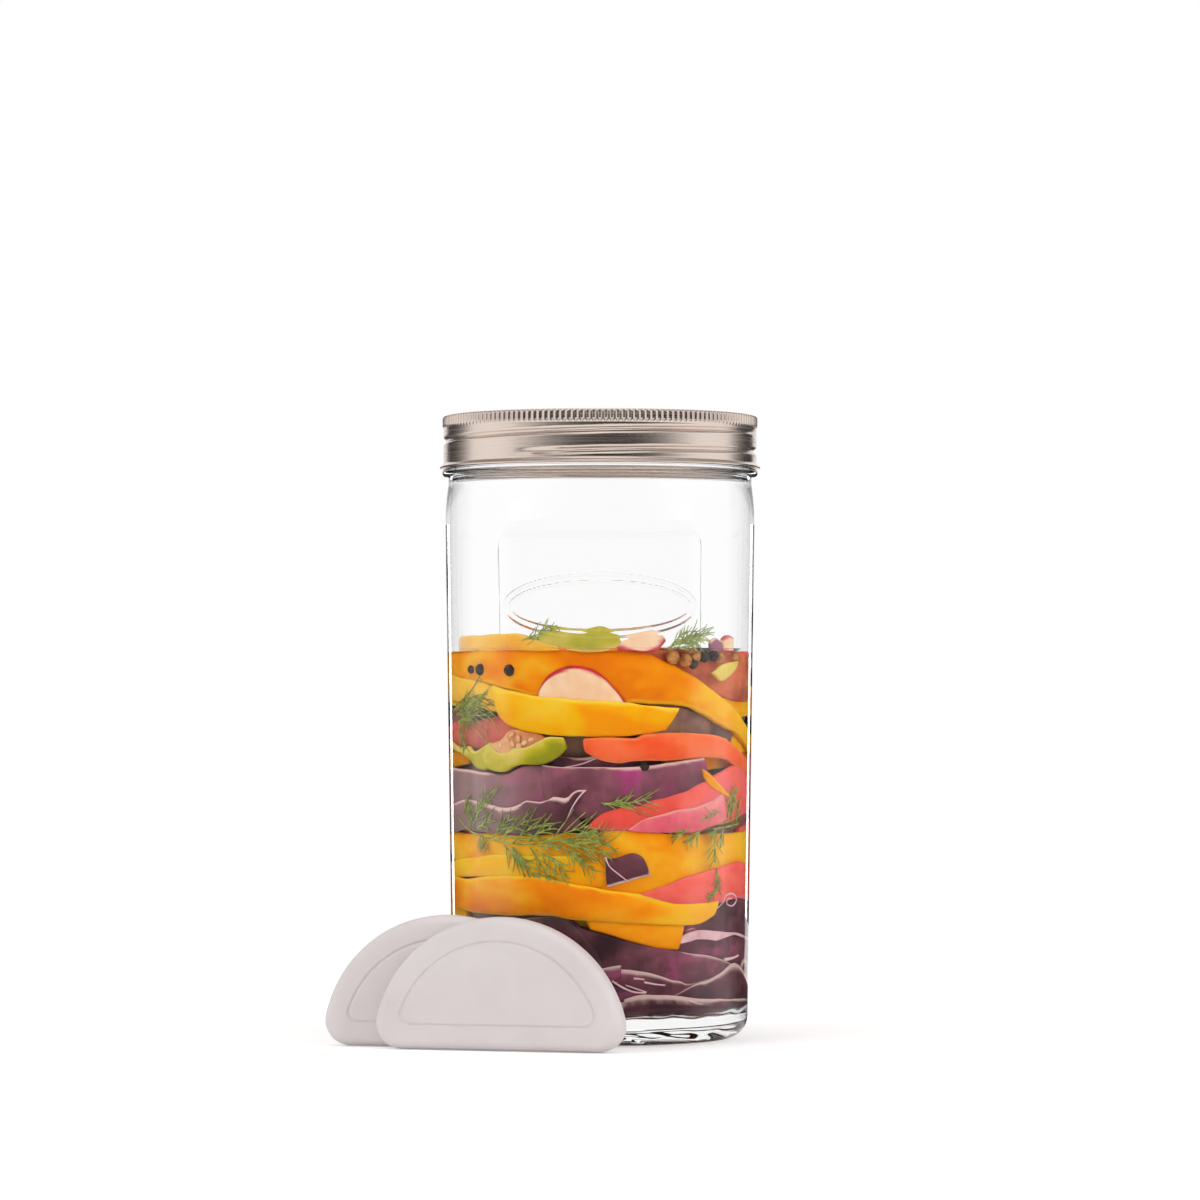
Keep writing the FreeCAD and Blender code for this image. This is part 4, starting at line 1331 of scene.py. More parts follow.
     ((490, 756), (502, 758), (514, 755), (527, 752), (545, 746)),
     1.3, 2.4, {"look": "pepper_flesh", "face": 1.6, "ripple": 0.8,
      "tones": ((0, 0.2), (0.25, 0.05), (0.5, -0.1), (0.8, -0.25), (1, -0.35))}),
)

# Pieces at the back: node, slot, gap, thickness, tilt from one end to the other and the rest of the form

BACK_PIECES = (
    ("orange_pepper_strip_back_low", "pepper_orange", 1.3, 3.0, -5, {"rims": (1.6, 0.8), "soft": 0.8}),
    ("red_cabbage_back", "red_cabbage", 1.6, 1.6, 4, {"fold": 0.8, "rims": (1.8, 0.5), "soft": 0.45}),
    ("yellow_pepper_strip_back", "pepper_yellow", 1.2, 3.0, 5, {"rims": (1.8, 0), "soft": 0.8}),
    ("green_pepper_slice_back", "pepper_green", 1.3, 2.8, -3, {"rims": (1.4, 0), "soft": 0.5}),
    ("red_pepper_strip_back", "pepper_red", 1.4, 2.8, 3, {"rims": (0.6, 1.4), "soft": 0.8}),
    ("orange_pepper_strip_back_high", "pepper_coral", 1.3, 3.0, -6, {"rims": (1.4, 0.9), "soft": 0.8}),
    ("red_cabbage_back_high", "red_cabbage", 1.8, 1.6, 4, {"fold": 0.8, "rims": (1.8, 0.6), "soft": 0.45}),
)
BACK_WAVE = 1.1
BACK_TIP = 0.35

# Pieces of the front that lie on the back too: piece, turn round the axis, change of height

BACK_COPIES = (
    ("radish_slice", 158, -26),
    ("radish_slice", 214, 3),
    ("cabbage_scrap", 196, 22),
    ("green_pepper_slice", 226, -20),
    ("yellow_pepper_strip_high", 204, -62),
    ("coral_pepper_strip", 138, -30),
    ("cabbage_scrap", 128, -6),
)
BACK_COPY_GAP = 0.3
BACK_COPY_THICK = 1.6


def wavy(edge, name, amount):
    """An edge whose heights wander, the same way each time for a name."""
    draw = random.Random(name)
    return [(azimuth, height + amount * draw.uniform(-1, 1)) for azimuth, height in edge]


def tapered(top, bottom, tilt):
    """Edges that close at both ends, and rise by a tilt from one end to the other."""
    last = len(top) - 1
    edges = ([], [])
    for i, ((over, high), (under, low)) in enumerate(zip(top, bottom)):
        middle = (high + low) / 2 + tilt * (i / last - 0.5)
        half = (high - low) / 2 * (BACK_TIP if i in (0, last) else 1)
        edges[0].append((over, middle + half))
        edges[1].append((under, middle - half))
    return edges


def turned(edge, turn, lift):
    return [(azimuth + turn, height + lift) for azimuth, height in edge]


def make_strip(name, slot, top, bottom, gap, thick, form):
    """A piece at the glass, which stands for the CAD node of its name if there is one."""
    form = dict(form)
    look = form.pop("look", slot)
    left, right = form.pop("left", None), form.pop("right", None)
    if left or right:
        form["tuck"] = TUCK
        top, bottom = led_on(top, bottom, left, right)
    nodes = [name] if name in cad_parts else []
    pack(f"packed_{name}", wall_strip(name, top, bottom, gap, thick, **form), look, slot, *nodes)


def make_vegetables():
    for name, slot, top, bottom, gap, thick, form in PRESSED_PIECES:
        make_strip(name, slot, traced(*top), traced(*bottom), gap, thick, form)
    for name, slot, gap, thick, tilt, form in BACK_PIECES:
        top, bottom = node_outline(name)
        top, bottom = tapered(wavy(top, name, BACK_WAVE), wavy(bottom, name + "_low", BACK_WAVE), tilt)
        make_strip(name, slot, top, bottom, gap, thick, form)
    rows = {row[0]: row for row in PRESSED_PIECES}
    for number, (name, turn, lift) in enumerate(BACK_COPIES):
        _, slot, top, bottom, _, _, form = rows[name]
        form = {key: value for key, value in form.items() if key not in ("left", "right")}
        edges = [turned(traced(*edge), turn, lift) for edge in (top, bottom)]
        make_strip(f"{name}_behind_{number}", slot, *edges, BACK_COPY_GAP, BACK_COPY_THICK, form)


# Red cabbage bed at the foot of the jar: overlapping leaves with pale cut edges

BED_LOW = FLOOR + 1.0
BED_END = BED_LOW + 1.5
BED_THICK = 0.6
BED_FORM = {"soft": 0.6, "ripple": 0.3, "face": 0.05, "tuck": 2.5}

# Each row: top edge in the photo's pixels, where it runs on to at the left and the right as an azimuth and
# a change of height, gap to the glass, width of its cut edge, fold, edging and tones

BED_LEAVES = (
    (((540, 917), (583, 929), (636, 943), (665, 949), (685, 953), (696, 955.5), (711, 957), (725, 962),
      (740, 970)),
     (-112, -12), (104, -10), 1.1, 0.7, 0.5,
     ((0, 0.6), (0.3, 0.6), (0.45, 0), (0.67, 0), (0.71, 1), (0.82, 0.8), (1, 0.6)),
     ((0, -0.1), (0.5, -0.2), (0.585, -0.12), (0.625, 0.14), (0.645, 0.16), (0.68, 0.05), (0.8, 0.04),
      (1, -0.05))),
    (((640, 938), (687, 932), (705, 929), (742, 931)),
     (2, -16), (96, -14), 2.9, 0.5, 0.3, (), ()),
    (((600, 968), (614, 969), (643, 971.5), (654, 974), (672, 980), (683, 982.5), (697, 985)),
     (-100, -11), (75, 5), 0.8, 1.5, 0.2,
     ((0, 0.6), (0.5, 0.5), (0.6, 0.8), (0.66, 1), (0.76, 0.5), (0.82, 0.1), (1, 0)), ()),
    (((690, 990), (701, 986), (712, 983), (724, 977), (742, 969)),
     (14, -7), (98, -9), 0.55, 2.0, 0.15,
     ((0, 0), (0.3, 0.15), (0.42, 0.6), (0.6, 1), (1, 0.6)), ((0, -0.1), (1, 0))),
    (((600, 1003), (624, 999), (644, 995.5), (669, 996), (686, 998), (715, 1002), (742, 1004.5)),
     (-100, -1), (108, -2), 0.3, 2.0, 0.1,
     ((0, 0.8), (0.4, 1), (0.68, 1), (0.78, 0.4), (1, 0.5)), ((0, -0.1), (1, 0))),
)

# Leaves at the back: height, gap to the glass and width of the cut edge of each

BED_BACK_TOPS = ((27.5, 2.2, 0.8), (22.0, 1.6, 1.3), (16.5, 1.0, 1.0), (12.5, 0.5, 1.6))
BED_BACK_SPAN = (88, 266)
BED_BACK_STEP = 14
BED_BACK_STAGGER = 7
BED_BACK_TIP = 12
BED_BACK_WAVE = 2.6
BED_BACK_THICK = 1.0
BED_BACK_FORM = {"fold": 0.8, "soft": 0.5, "ripple": 0.4}


def bed_leaf(name, top, gap, thick, rim, form):
    """A leaf that stands on the floor of the jar."""
    bottom = [(azimuth, BED_LOW) for azimuth, _ in top]
    return wall_strip(name, top, bottom, gap, thick, rims=(rim, 0), **form)


def make_bed():
    # Both beds take cabbage_bed, the darker copy of red cabbage with painted shade
    leaves = Cluster()
    for number, (pixels, left, right, gap, rim, fold, edging, tones) in enumerate(BED_LEAVES):
        edge = traced(*pixels)
        first = (left[0], edge[0][1] + left[1])
        last = (right[0], edge[-1][1] + right[1])
        form = {"fold": fold, "edging": edging, "tones": tones, **BED_FORM}
        leaves.add(*bed_leaf(f"bed_leaf_{number}", [first, *edge, last], gap, BED_THICK, rim, form))
    pack("packed_red_cabbage_bed_front", leaves.form, "cabbage_bed", "red_cabbage", "red_cabbage_bed_front")
    leaves = Cluster()
    for number, (height, gap, rim) in enumerate(BED_BACK_TOPS):
        name = f"bed_back_{number}"
        reach = BED_BACK_STAGGER * number
        azimuths = spread(BED_BACK_SPAN[0] - reach, BED_BACK_SPAN[1] + reach, BED_BACK_STEP)
        edge = wavy([(azimuth, height) for azimuth in azimuths], name, BED_BACK_WAVE)
        first = (edge[0][0] - BED_BACK_TIP, BED_END)
        last = (edge[-1][0] + BED_BACK_TIP, BED_END)
        leaves.add(*bed_leaf(name, [first, *edge, last], gap, BED_BACK_THICK, rim, BED_BACK_FORM))
    pack("packed_red_cabbage_bed_back", leaves.form, "cabbage_bed", "red_cabbage", "red_cabbage_bed_back")


# Thin pale cut edges that curl over the leaves, and one pale tube for a painted glint: points in the photo,
# radius and gap to the glass

EDGE_LINES = (
    (((605, 857), (609, 866), (617, 873), (629, 882)), 0.28, 0.25),
    (((585, 790), (579, 796), (572, 806), (566, 819)), 0.26, 0.55),
    (((612, 981), (622, 987), (634, 992), (648, 993), (640, 990), (626, 985)), 0.3, 0.4),
    (((727, 905), (730, 898), (737, 897), (741, 903), (737, 909), (731, 907), (732, 902), (736, 902)),
     0.3, 0.6),
    (((708, 910), (718, 912), (727, 905)), 0.24, 0.6),
    (((692, 1002), (705, 1006), (722, 1008)), 0.35, 0.3),
    (((634.6, 978.6), (640, 979), (645.3, 979.7)), 0.32, 0.4),
    (((645.3, 982.4), (656, 984.6), (666.9, 985.9)), 0.3, 0.4),
    # A painted glint on the leaf, drawn as a pale tube
    (((728.8, 963), (737, 962.4), (743.6, 960.3)), 0.5, 0.4),
    (((560, 768), (580, 764), (600, 757), (622, 753)), 0.25, 3.2),
)
EDGE_STEPS = 28
EDGE_SIDES = 8
EDGE_TAPER = 0.6
EDGE_SHADE = 0.5


def on_glass(spot, gap):
    azimuth, height = spot
    return place(azimuth, wall_radius(height) - gap, height)


def tube(path, first, last, sides=5, up=None):
    """A tapering tube along points, closed at both ends, with its top away from the axis or upward."""
    loops = []
    for i, point in enumerate(path):
        ahead = path[min(i + 1, len(path) - 1)] - path[max(i - 1, 0)]
        out = up or Vector((point.x, point.y, 0)).normalized()
        side = ahead.cross(out).normalized()
        lift = side.cross(ahead).normalized()
        radius = first + (last - first) * i / (len(path) - 1)
        loop = []
        for k in range(sides):
            angle = 2 * math.pi * k / sides
            loop.append(point + (side * math.cos(angle) + lift * math.sin(angle)) * radius)
        loops.append(loop)
    return loft(loops)


def make_edges():
    lines = Cluster()
    for pixels, radius, gap in EDGE_LINES:
        path = [on_glass(spot, gap + radius) for spot in curve(traced(*pixels), EDGE_STEPS)]
        lines.add(*tube(path, radius, radius * EDGE_TAPER, EDGE_SIDES), {"shade": EDGE_SHADE})
    pack("packed_cabbage_edges", lines.form, "cabbage_edge", "red_cabbage")


# Deeper vegetables, which show between the pieces at the glass

CORE_RADIUS = 33.5
CORE_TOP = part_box("packed_core")[1].z / MM
CORE_MARGIN = 1.5
CORE_RISE = 2
CORE_TURN = 3
CORE_RINGS = (0.1, 0.95, 0.08)
CORE_TOP_LUMP = 1.6
CORE_TOP_SINK = 0.3
CORE_LUMP = 2.0
CORE_LUMP_SIZE = 11
CORE_LUMP_FLAT = 1.8


def make_core():
    heights = spread(FLOOR + CORE_MARGIN, CORE_TOP - CORE_MARGIN, CORE_RISE)
    rows = [(0, heights[0])] + [(CORE_RADIUS, height) for height in heights]
    rows += [(CORE_RADIUS * share, CORE_TOP) for share in spread(*CORE_RINGS)[::-1]] + [(0, CORE_TOP)]

    def shape(azimuth, radius, height, row):
        lump = noise.noise(place(azimuth, radius, height * CORE_LUMP_FLAT) / CORE_LUMP_SIZE)
        if height == CORE_TOP:
            return place(azimuth, radius, height + CORE_TOP_LUMP * (lump - CORE_TOP_SINK))
        return place(azimuth, radius + CORE_LUMP * lump, height)

    points, faces, _ = lathe(rows, full_turn(CORE_TURN), shape)
    pack("packed_core", (points, faces, {"rim": [0.0] * len(points)}), "core", "red_cabbage", "packed_core")


FILLER_COUNT = 9
FILLER_SLOTS = ("pepper_orange", "pepper_red", "red_cabbage", "pepper_yellow")
FILLER_SPAN = (35, 85)
FILLER_HEIGHT = (30, BRINE_LEVEL - 10)
FILLER_TALL = (5, 10)
FILLER_TILT = (-7, 7)
FILLER_GAP = (4.2, 6.5)
FILLER_THICK = 2.4
FILLER_RIMS = (0.8, 0.8)


def filler(name, draw):
    """A strip at a place, with a slant and a size that are drawn."""
    start = draw.uniform(-180, 180)
    span = draw.uniform(*FILLER_SPAN)
    height = draw.uniform(*FILLER_HEIGHT)
    tall = draw.uniform(*FILLER_TALL)
    tilt = draw.uniform(*FILLER_TILT)
    shares = spread(0, 1, 0.25)
    top = [(start + span * s, height + tall + tilt * s + draw.uniform(-1, 1)) for s in shares]
    bottom = [(start + span * s, height + tilt * s + draw.uniform(-1, 1)) for s in shares]
    return wall_strip(name, top, bottom, draw.uniform(*FILLER_GAP), FILLER_THICK, rims=FILLER_RIMS)


def make_fillers():
    for slot in FILLER_SLOTS:
        draw = random.Random(f"filler_{slot}")
        pile = Cluster()
        for number in range(FILLER_COUNT):
            pile.add(*filler(f"filler_{slot}_{number}", draw))
        pack(f"packed_filler_{slot}", pile.form, slot, slot)


# Dill: stems with fronds of fine needles

STEM_RADIUS = 0.36
STEM_STEPS = 16
STEM_SIDES = 7
STEM_TAPER = 0.5
STEM_SHADE = 0.7
DILL_GAP = 0.55
RIB_GAP = (-0.15, 0.35)
RIB_BOW = (-0.12, 0.12)
RIB_TAPER = (1.25, 0.6)
NEEDLES = 9
NEEDLE_RADIUS = 0.23
NEEDLE_TAPER = 0.45
NEEDLE_START = 0.14
NEEDLE_SPAN = 0.8
NEEDLE_STRAY = (-0.03, 0.03)
NEEDLE_ANGLE = (14, 42)
NEEDLE_REACH = (0.36, 0.72)
NEEDLE_SHORTER = (1.15, 0.6)
NEEDLE_CURL = (-0.3, 0.3)
NEEDLE_GAP = (-0.08, 0.12)

# Stems, and the fronds' two ends, in the photo's pixels

DILL_LEFT_STEM = (
    (453, 818), (466, 833), (481, 838), (495, 842), (511, 844), (526, 845), (542, 843), (573, 838),
)
DILL_LEFT_FRONDS = (
    ((466, 833), (465, 804)), ((470, 827), (492, 790)), ((468, 822), (484, 802)), ((470, 830), (489, 819)),
    ((480, 837), (484, 852)), ((478, 836), (477, 853)), ((491, 839), (511, 819)), ((496, 841), (530, 819)),
    ((511, 844), (552, 823)), ((526, 844), (555, 828)), ((501, 846), (515, 868)), ((509, 848), (546, 883)),
    ((511, 848), (528, 870)), ((528, 848), (557, 894)), ((534, 850), (567, 878)), ((536, 846), (560, 850)),
    ((542, 843), (591, 825)), ((558, 841), (610, 838)), ((562, 842), (616, 850)), ((566, 844), (613, 858)),
    ((570, 848), (596, 871)), ((560, 846), (581, 862)), ((460, 815), (466, 795)), ((573, 838), (598, 832)),
    ((601, 803), (652, 797)), ((603, 805), (630, 803)),
)
DILL_RIGHT_STEM = ((742, 826), (728, 829), (715, 830), (700, 828), (689, 827), (671, 834))
DILL_RIGHT_FRONDS = (
    ((715, 830), (695, 817)), ((705, 828), (689, 844)), ((722, 829), (713, 840)), ((726, 830), (724, 849)),
    ((726, 821), (722, 803)), ((730, 819), (734, 787)), ((734, 817), (740, 791)), ((722, 813), (703, 821)),
    ((728, 825), (712, 810)), ((735, 825), (729, 800)), ((738, 828), (741, 800)), ((718, 836), (717, 865)),
    ((719, 870), (720, 894)), ((720, 894), (711, 902)), ((700, 829), (680, 829)), ((690, 828), (672, 838)),
)
DILL_HIGH_STEM = ((450, 712), (456, 706), (470, 702))
DILL_HIGH_FRONDS = (
    ((453, 706), (489, 700)), ((453, 709), (478, 702)), ((454, 711), (484, 708)), ((455, 714), (492, 715)),
    ((454, 716), (476, 709)), ((456, 720), (467, 728)), ((457, 722), (463, 750)), ((455, 724), (469, 719)),
)
DILL_FLOATER_STEM = ((668, 648), (680, 642), (692, 636))
DILL_FLOATER_FRONDS = (
    ((670, 647), (697, 628)), ((672, 645), (688, 630)), ((676, 644), (704, 634)), ((680, 643), (708, 640)),
    ((684, 641), (699, 645)), ((674, 647), (690, 646)), ((690, 640), (712, 632)),
    ((522, 640), (552, 629)), ((526, 645), (560, 636)), ((530, 636), (545, 627)), ((534, 643), (566, 642)),
)

# Each row: piece, stem, fronds, turn round the axis, change of height and the CAD node that it stands for

SPRIGS = (
    ("packed_dill_sprig_left", DILL_LEFT_STEM, DILL_LEFT_FRONDS, 0, 0, "dill_sprig_left"),
    ("packed_dill_sprig_right", DILL_RIGHT_STEM, DILL_RIGHT_FRONDS, 0, 0, "dill_sprig_right"),
    ("packed_dill_sprig_high", DILL_HIGH_STEM, DILL_HIGH_FRONDS, 0, 0),
    ("packed_dill_floater", DILL_FLOATER_STEM, DILL_FLOATER_FRONDS, 0, 0, "dill_floater"),
    ("packed_dill_sprig_back", DILL_LEFT_STEM, DILL_LEFT_FRONDS, 190, 12),
    ("packed_dill_sprig_side", DILL_RIGHT_STEM, DILL_RIGHT_FRONDS, 90, -6),
)


def frond(cluster, start, end, draw, lay=on_glass, up=None):
    """One bowed rib with needles that leave it on both sides.

    lay(spot, gap) gives a point for an azimuth and a height, or for two lengths on the brine."""
    first = Vector(start)
    way = Vector(end) - first
    flat = Vector((way.x * MM_PER_DEGREE, way.y))
    length = flat.length
    beside = Vector((-flat.y, flat.x)) / length
    bow = draw.uniform(*RIB_BOW) * length
    gap = DILL_GAP + draw.uniform(*RIB_GAP)

    def spot(share):
        middle = first + way * share
        push = beside * bow * 4 * share * (1 - share)
        return middle + Vector((push.x / MM_PER_DEGREE, push.y))

    shade = draw.random()
    rib = [lay(spot(share), gap) for share in spread(0, 1, 0.125)]
    thick, thin = (NEEDLE_RADIUS * share for share in RIB_TAPER)
    cluster.add(*tube(rib, thick, thin, up=up), {"shade": shade})
    heading = math.atan2(flat.y, flat.x)
    for number in range(NEEDLES):
        share = NEEDLE_START + NEEDLE_SPAN * number / NEEDLES + draw.uniform(*NEEDLE_STRAY)
        turn = heading + math.radians(draw.uniform(*NEEDLE_ANGLE)) * (1 if number % 2 else -1)
        reach = length * draw.uniform(*NEEDLE_REACH) * (NEEDLE_SHORTER[0] - NEEDLE_SHORTER[1] * share)
        base = spot(share)
        tip = Vector((math.cos(turn) / MM_PER_DEGREE, math.sin(turn))) * reach
        curl = draw.uniform(*NEEDLE_CURL) * reach
        path = []
        for step in spread(0, 1, 0.25):
            side = Vector((-math.sin(turn) / MM_PER_DEGREE, math.cos(turn))) * (curl * step * step)
            path.append(lay(base + tip * step + side, gap + draw.uniform(*NEEDLE_GAP)))
        needle = tube(path, NEEDLE_RADIUS, NEEDLE_RADIUS * NEEDLE_TAPER, up=up)
        cluster.add(*needle, {"shade": draw.random()})


def make_dill():
    for name, stem, fronds, turn, lift, *nodes in SPRIGS:
        draw = random.Random(name)
        sprig = Cluster()
        spots = curve(turned(traced(*stem), turn, lift), STEM_STEPS)
        path = [on_glass(spot, DILL_GAP + STEM_RADIUS) for spot in spots]
        sprig.add(*tube(path, STEM_RADIUS, STEM_RADIUS * STEM_TAPER, STEM_SIDES), {"shade": STEM_SHADE})
        for ends in fronds:
            frond(sprig, *turned(traced(*ends), turn, lift), draw)
        pack(name, sprig.form, "dill", "dill", *nodes)


# Pieces that float on the brine away from the glass

FLOAT_THICK = 2.6
FLOAT_LIFT = -0.5
FLOAT_STEPS = 26
FLOAT_END = 5
FLOAT_LEAST = 0.2
FLOAT_WAVES = 3
FLOAT_SWAY = 0.6
FLOAT_BOB = 0.5
FLOAT_RIM = (0.82, 0.98)
# Share of the painted shade down a piece that floating strips take all over
FLOAT_PAINTED_SHADE = 0.2
FLOAT_TONE = 0.12
FROND_SINK = 0.2

# Each row: slot, middle, the way its bend faces, radius of the bend, degrees of it and width

FLOATING_STRIPS = (
    ("pepper_orange", (-15, 9), 20, 24, 75, 7),
    ("pepper_yellow", (11, -13), 130, 17, 95, 6),
    ("pepper_red", (19, 12), 250, 21, 80, 7),
    ("pepper_green", (-3, 24), 80, 12, 150, 5),
    ("pepper_coral", (-23, -12), 305, 19, 80, 6),
    ("pepper_amber", (3, 3), 200, 26, 60, 8),
    ("red_cabbage", (-8, -25), 160, 28, 50, 9),
    ("red_cabbage", (26, -6), 100, 22, 60, 8),
    ("pepper_yellow", (-28, 16), 140, 16, 80, 6),
    ("red_cabbage", (10, 28), 300, 24, 55, 8),
)

# Radish slices: middle, radius and tilt. Their section: shares of the radius and heights, from the top

FLOATING_RADISHES = (((-9, -9), 8.5, 7), ((13, 21), 7.5, -8))
SLICE_TOP = ((0.3, 0.8), (0.7, 0.85), (0.93, 0.7), (1.0, 0.25))
SLICE_SECTION = SLICE_TOP + tuple((reach, -height) for reach, height in SLICE_TOP[::-1])
SLICE_TURN = 6

# Fronds: both ends on the brine

FLOATING_FRONDS = (
    ((4, -6), (24, -16)), ((6, -7), (18, 4)), ((8, -9), (26, -8)), ((-20, 2), (-34, 8)),
    ((-18, 0), (-30, -10)), ((-6, 12), (-18, 26)), ((-4, 13), (8, 18)), ((-2, 14), (0, 32)),
)


def on_brine(spot, gap):
    """A place on the brine, whose two lengths are laid out from the jar's axis."""
    return Vector((spot[0] * MM_PER_DEGREE, spot[1], BRINE_LEVEL + gap - FROND_SINK))


def float_strip(middle, facing, bend, span, wide, seed):
    """Points, faces and marks of a curved strip that lies flat on the brine."""
    heart = Vector((*middle, BRINE_LEVEL + FLOAT_LIFT)) - place(facing, bend, 0)
    loops = []
    rim = []
    tone = []
    for share in spread(0, 1, 1 / FLOAT_STEPS):
        out = place(facing + span * (share - 0.5), 1, 0)
        keep = max(FLOAT_LEAST, (1 - abs(2 * share - 1) ** FLOAT_END) ** 0.5)
        wave = drift(share * FLOAT_WAVES, seed, 0)
        loop = []
        for j in range(AROUND):
            angle = 2 * math.pi * j / AROUND
            across = rounded(math.cos(angle)) * keep
            up = rounded(math.sin(angle)) * keep * FLOAT_THICK / 2 + FLOAT_BOB * wave
            loop.append(heart + out * (bend + across * (wide / 2 + FLOAT_SWAY * wave)) + Vector((0, 0, up)))
            rim.append(smoothstep(*FLOAT_RIM, abs(across)))
            tone.append(FLOAT_TONE * wave)
        loops.append(loop)
    points, faces = loft(loops)
    rim += [1.0, 1.0]
    tone += [0.0, 0.0]
    return points, faces, {"rim": rim, "lean": [FLOAT_PAINTED_SHADE] * len(points), "tone": tone}


def float_radish(middle, radius, tilt):
    """Points, faces and marks of a thin radish slice that lies on the brine, tilted a little."""
    turn = Matrix.Rotation(math.radians(tilt), 3, "X")
    heart = Vector((*middle, BRINE_LEVEL))
    azimuths = spread(0, 360 - SLICE_TURN, SLICE_TURN)
    loops = []
    rim = []
    for reach, height in SLICE_SECTION:
        loops.append([turn @ place(azimuth, radius * reach, height) + heart for azimuth in azimuths])
        rim += [float(reach == 1)] * len(azimuths)
    points, faces = loft(loops)
    return points, faces, {"rim": rim + [0.0, 0.0]}


def make_floating():
    for number, (slot, *form) in enumerate(FLOATING_STRIPS):
        pack(f"floating_strip_{number}", float_strip(*form, number), slot, slot)
    for number, form in enumerate(FLOATING_RADISHES):
        pack(f"floating_radish_{number}", float_radish(*form), "radish", "radish")
    draw = random.Random("floating_dill")
    dill = Cluster()
    for ends in FLOATING_FRONDS:
        first, last = ((x / MM_PER_DEGREE, y) for x, y in ends)
        frond(dill, first, last, draw, on_brine, Vector((0, 0, 1)))
    pack("floating_dill", dill.form, "dill", "dill")


# Peppercorns, coriander seeds and pepper seeds: middles in the photo's pixels, and radii

PEPPERCORNS = (
    ((467.5, 669), 1.25), ((476, 669), 1.7), ((506, 670), 1.75), ((707, 656), 1.8), ((716, 655), 1.8),
    ((695, 664), 1.5), ((645, 767), 1.5),
)
CORIANDER = (((675, 657), 2.1), ((688, 660), 2.1), ((698, 655), 1.9), ((723, 657), 1.9), ((738, 656), 1.9))
PEPPER_SEEDS = (
    ((504, 740), 1.1), ((510, 744), 1.2), ((516, 738), 1.1), ((522, 743), 1.2), ((509, 735), 1.0),
    ((529, 740), 1.0), ((498, 746), 0.9), ((517, 746), 1.0),
)
SEED_GAP = 0.35
BALL_DETAIL = 4
WRINKLE = 0.12
WRINKLE_RATE = 2.6
WRINKLE_LEVEL = 0.6
GRAIN = 0.03
GRAIN_RATE = 7
SEED_RIBS = 11
SEED_RIB = 0.035
SEED_POLE = 0.05
SEED_FLAT = 0.45
SEED_POINT = 0.12


def wrinkled(direction, number):
    folds = abs(noise.noise(direction * WRINKLE_RATE + Vector((number, 0, 0))))
    return WRINKLE * (folds * 2 - WRINKLE_LEVEL) + GRAIN * noise.noise(direction * GRAIN_RATE)


def ribbed(direction, number):
    azimuth = math.atan2(direction.y, direction.x)
    return SEED_RIB * math.cos(azimuth * SEED_RIBS) * (1 - direction.z**4) - SEED_POLE * direction.z**2


def flat_seed(direction, number):
    return -SEED_FLAT * abs(direction.z) ** 1.5 + SEED_POINT * direction.x**3


def small_ball(radius, bend, number):
    """An icosphere whose points are moved out or in by a share of its radius."""
    work = bmesh.new()
    bmesh.ops.create_icosphere(work, subdivisions=BALL_DETAIL, radius=1)
    points = [v.co * radius * (1 + bend(v.co, number)) for v in work.verts]
    faces = [tuple(v.index for v in f.verts) for f in work.faces]
    work.free()
    return points, faces


def scatter(name, seeds, bend, look, *nodes):
    draw = random.Random(name)
    pile = Cluster()
    for number, (pixel, radius) in enumerate(seeds):
        middle = on_glass(traced(pixel)[0], radius + SEED_GAP)
        turn = Matrix.Rotation(draw.uniform(0, 3), 3, "X") @ Matrix.Rotation(draw.uniform(0, 3), 3, "Y")
        points, faces = small_ball(radius, bend, number)
        pile.add([turn @ p + middle for p in points], faces, {"shade": draw.random()})
    pack(name, pile.form, look, "peppercorn", *nodes)


def make_seeds():
    scatter("packed_peppercorns", PEPPERCORNS, wrinkled, "peppercorn", "peppercorns")
    scatter("packed_coriander_seeds", CORIANDER, ribbed, "coriander")
    scatter("packed_pepper_seeds", PEPPER_SEEDS, flat_seed, "pepper_seed")


# Stage, in metres

FLOOR_HALF = 4.0
FLOOR_DROP = -0.0003
FLOOR_WHITE = (0.86, 0.86, 0.86, 1)
FLOOR_GLOW = 0.3
FLOOR_FADE = (0.25, 0.8)
FILL_LIGHT = 0.55
GLOSS_LIGHT = 0.7
FAINT_LIGHT = 0.1


def seen_directly(tree):
    """1 for what the camera, a mirror or glass shows, and 0 for light that falls on things."""
    path = light_path(tree)
    first = calc(tree, "MAXIMUM", path["Is Camera Ray"], path["Is Glossy Ray"])
    return calc(tree, "MAXIMUM", first, path["Is Transmission Ray"])


def mirrored(tree):
    """1 for what the smooth glass mirrors, and 0 for the rest."""
    path = light_path(tree)
    return calc(tree, "SUBTRACT", path["Is Singular Ray"], path["Is Transmission Ray"], clamp=True)


def studio_white(tree):
    return graded(tree, seen_directly(tree), FILL_LIGHT, 1.0)


def studio_floor(tree):
    """White floor that glows a little where it is seen, so that only shadows show on it."""
    lit = add(tree, "ShaderNodeBsdfDiffuse", {"Color": FLOOR_WHITE}).outputs["BSDF"]
    glow = emission(tree, calc(tree, "MULTIPLY", seen_directly(tree), FLOOR_GLOW))
    near = add(tree, "ShaderNodeAddShader", {0: lit, 1: glow}).outputs["Shader"]
    away = graded(tree, length_of(tree, world_spot(tree)), 0.0, 1.0, *FLOOR_FADE, "SMOOTHSTEP")
    return blended(tree, away, near, emission(tree, studio_white(tree)))


def card_glow(tree, stops, reach, middle=0.0):
    """Light that changes from a card's middle, at this x, to a reach on either side."""
    aside = calc(tree, "SUBTRACT", axes(tree, world_spot(tree))["X"], middle)
    share = calc(tree, "DIVIDE", calc(tree, "ABSOLUTE", aside), reach)
    return emission(tree, 1.0, ramp(tree, share, *stops))


def mirror_glow(tree, level):
    """A strong light in the mirror of the glass, and a faint one in brushed metal."""
    return emission(tree, graded(tree, mirrored(tree), FAINT_LIGHT, level))


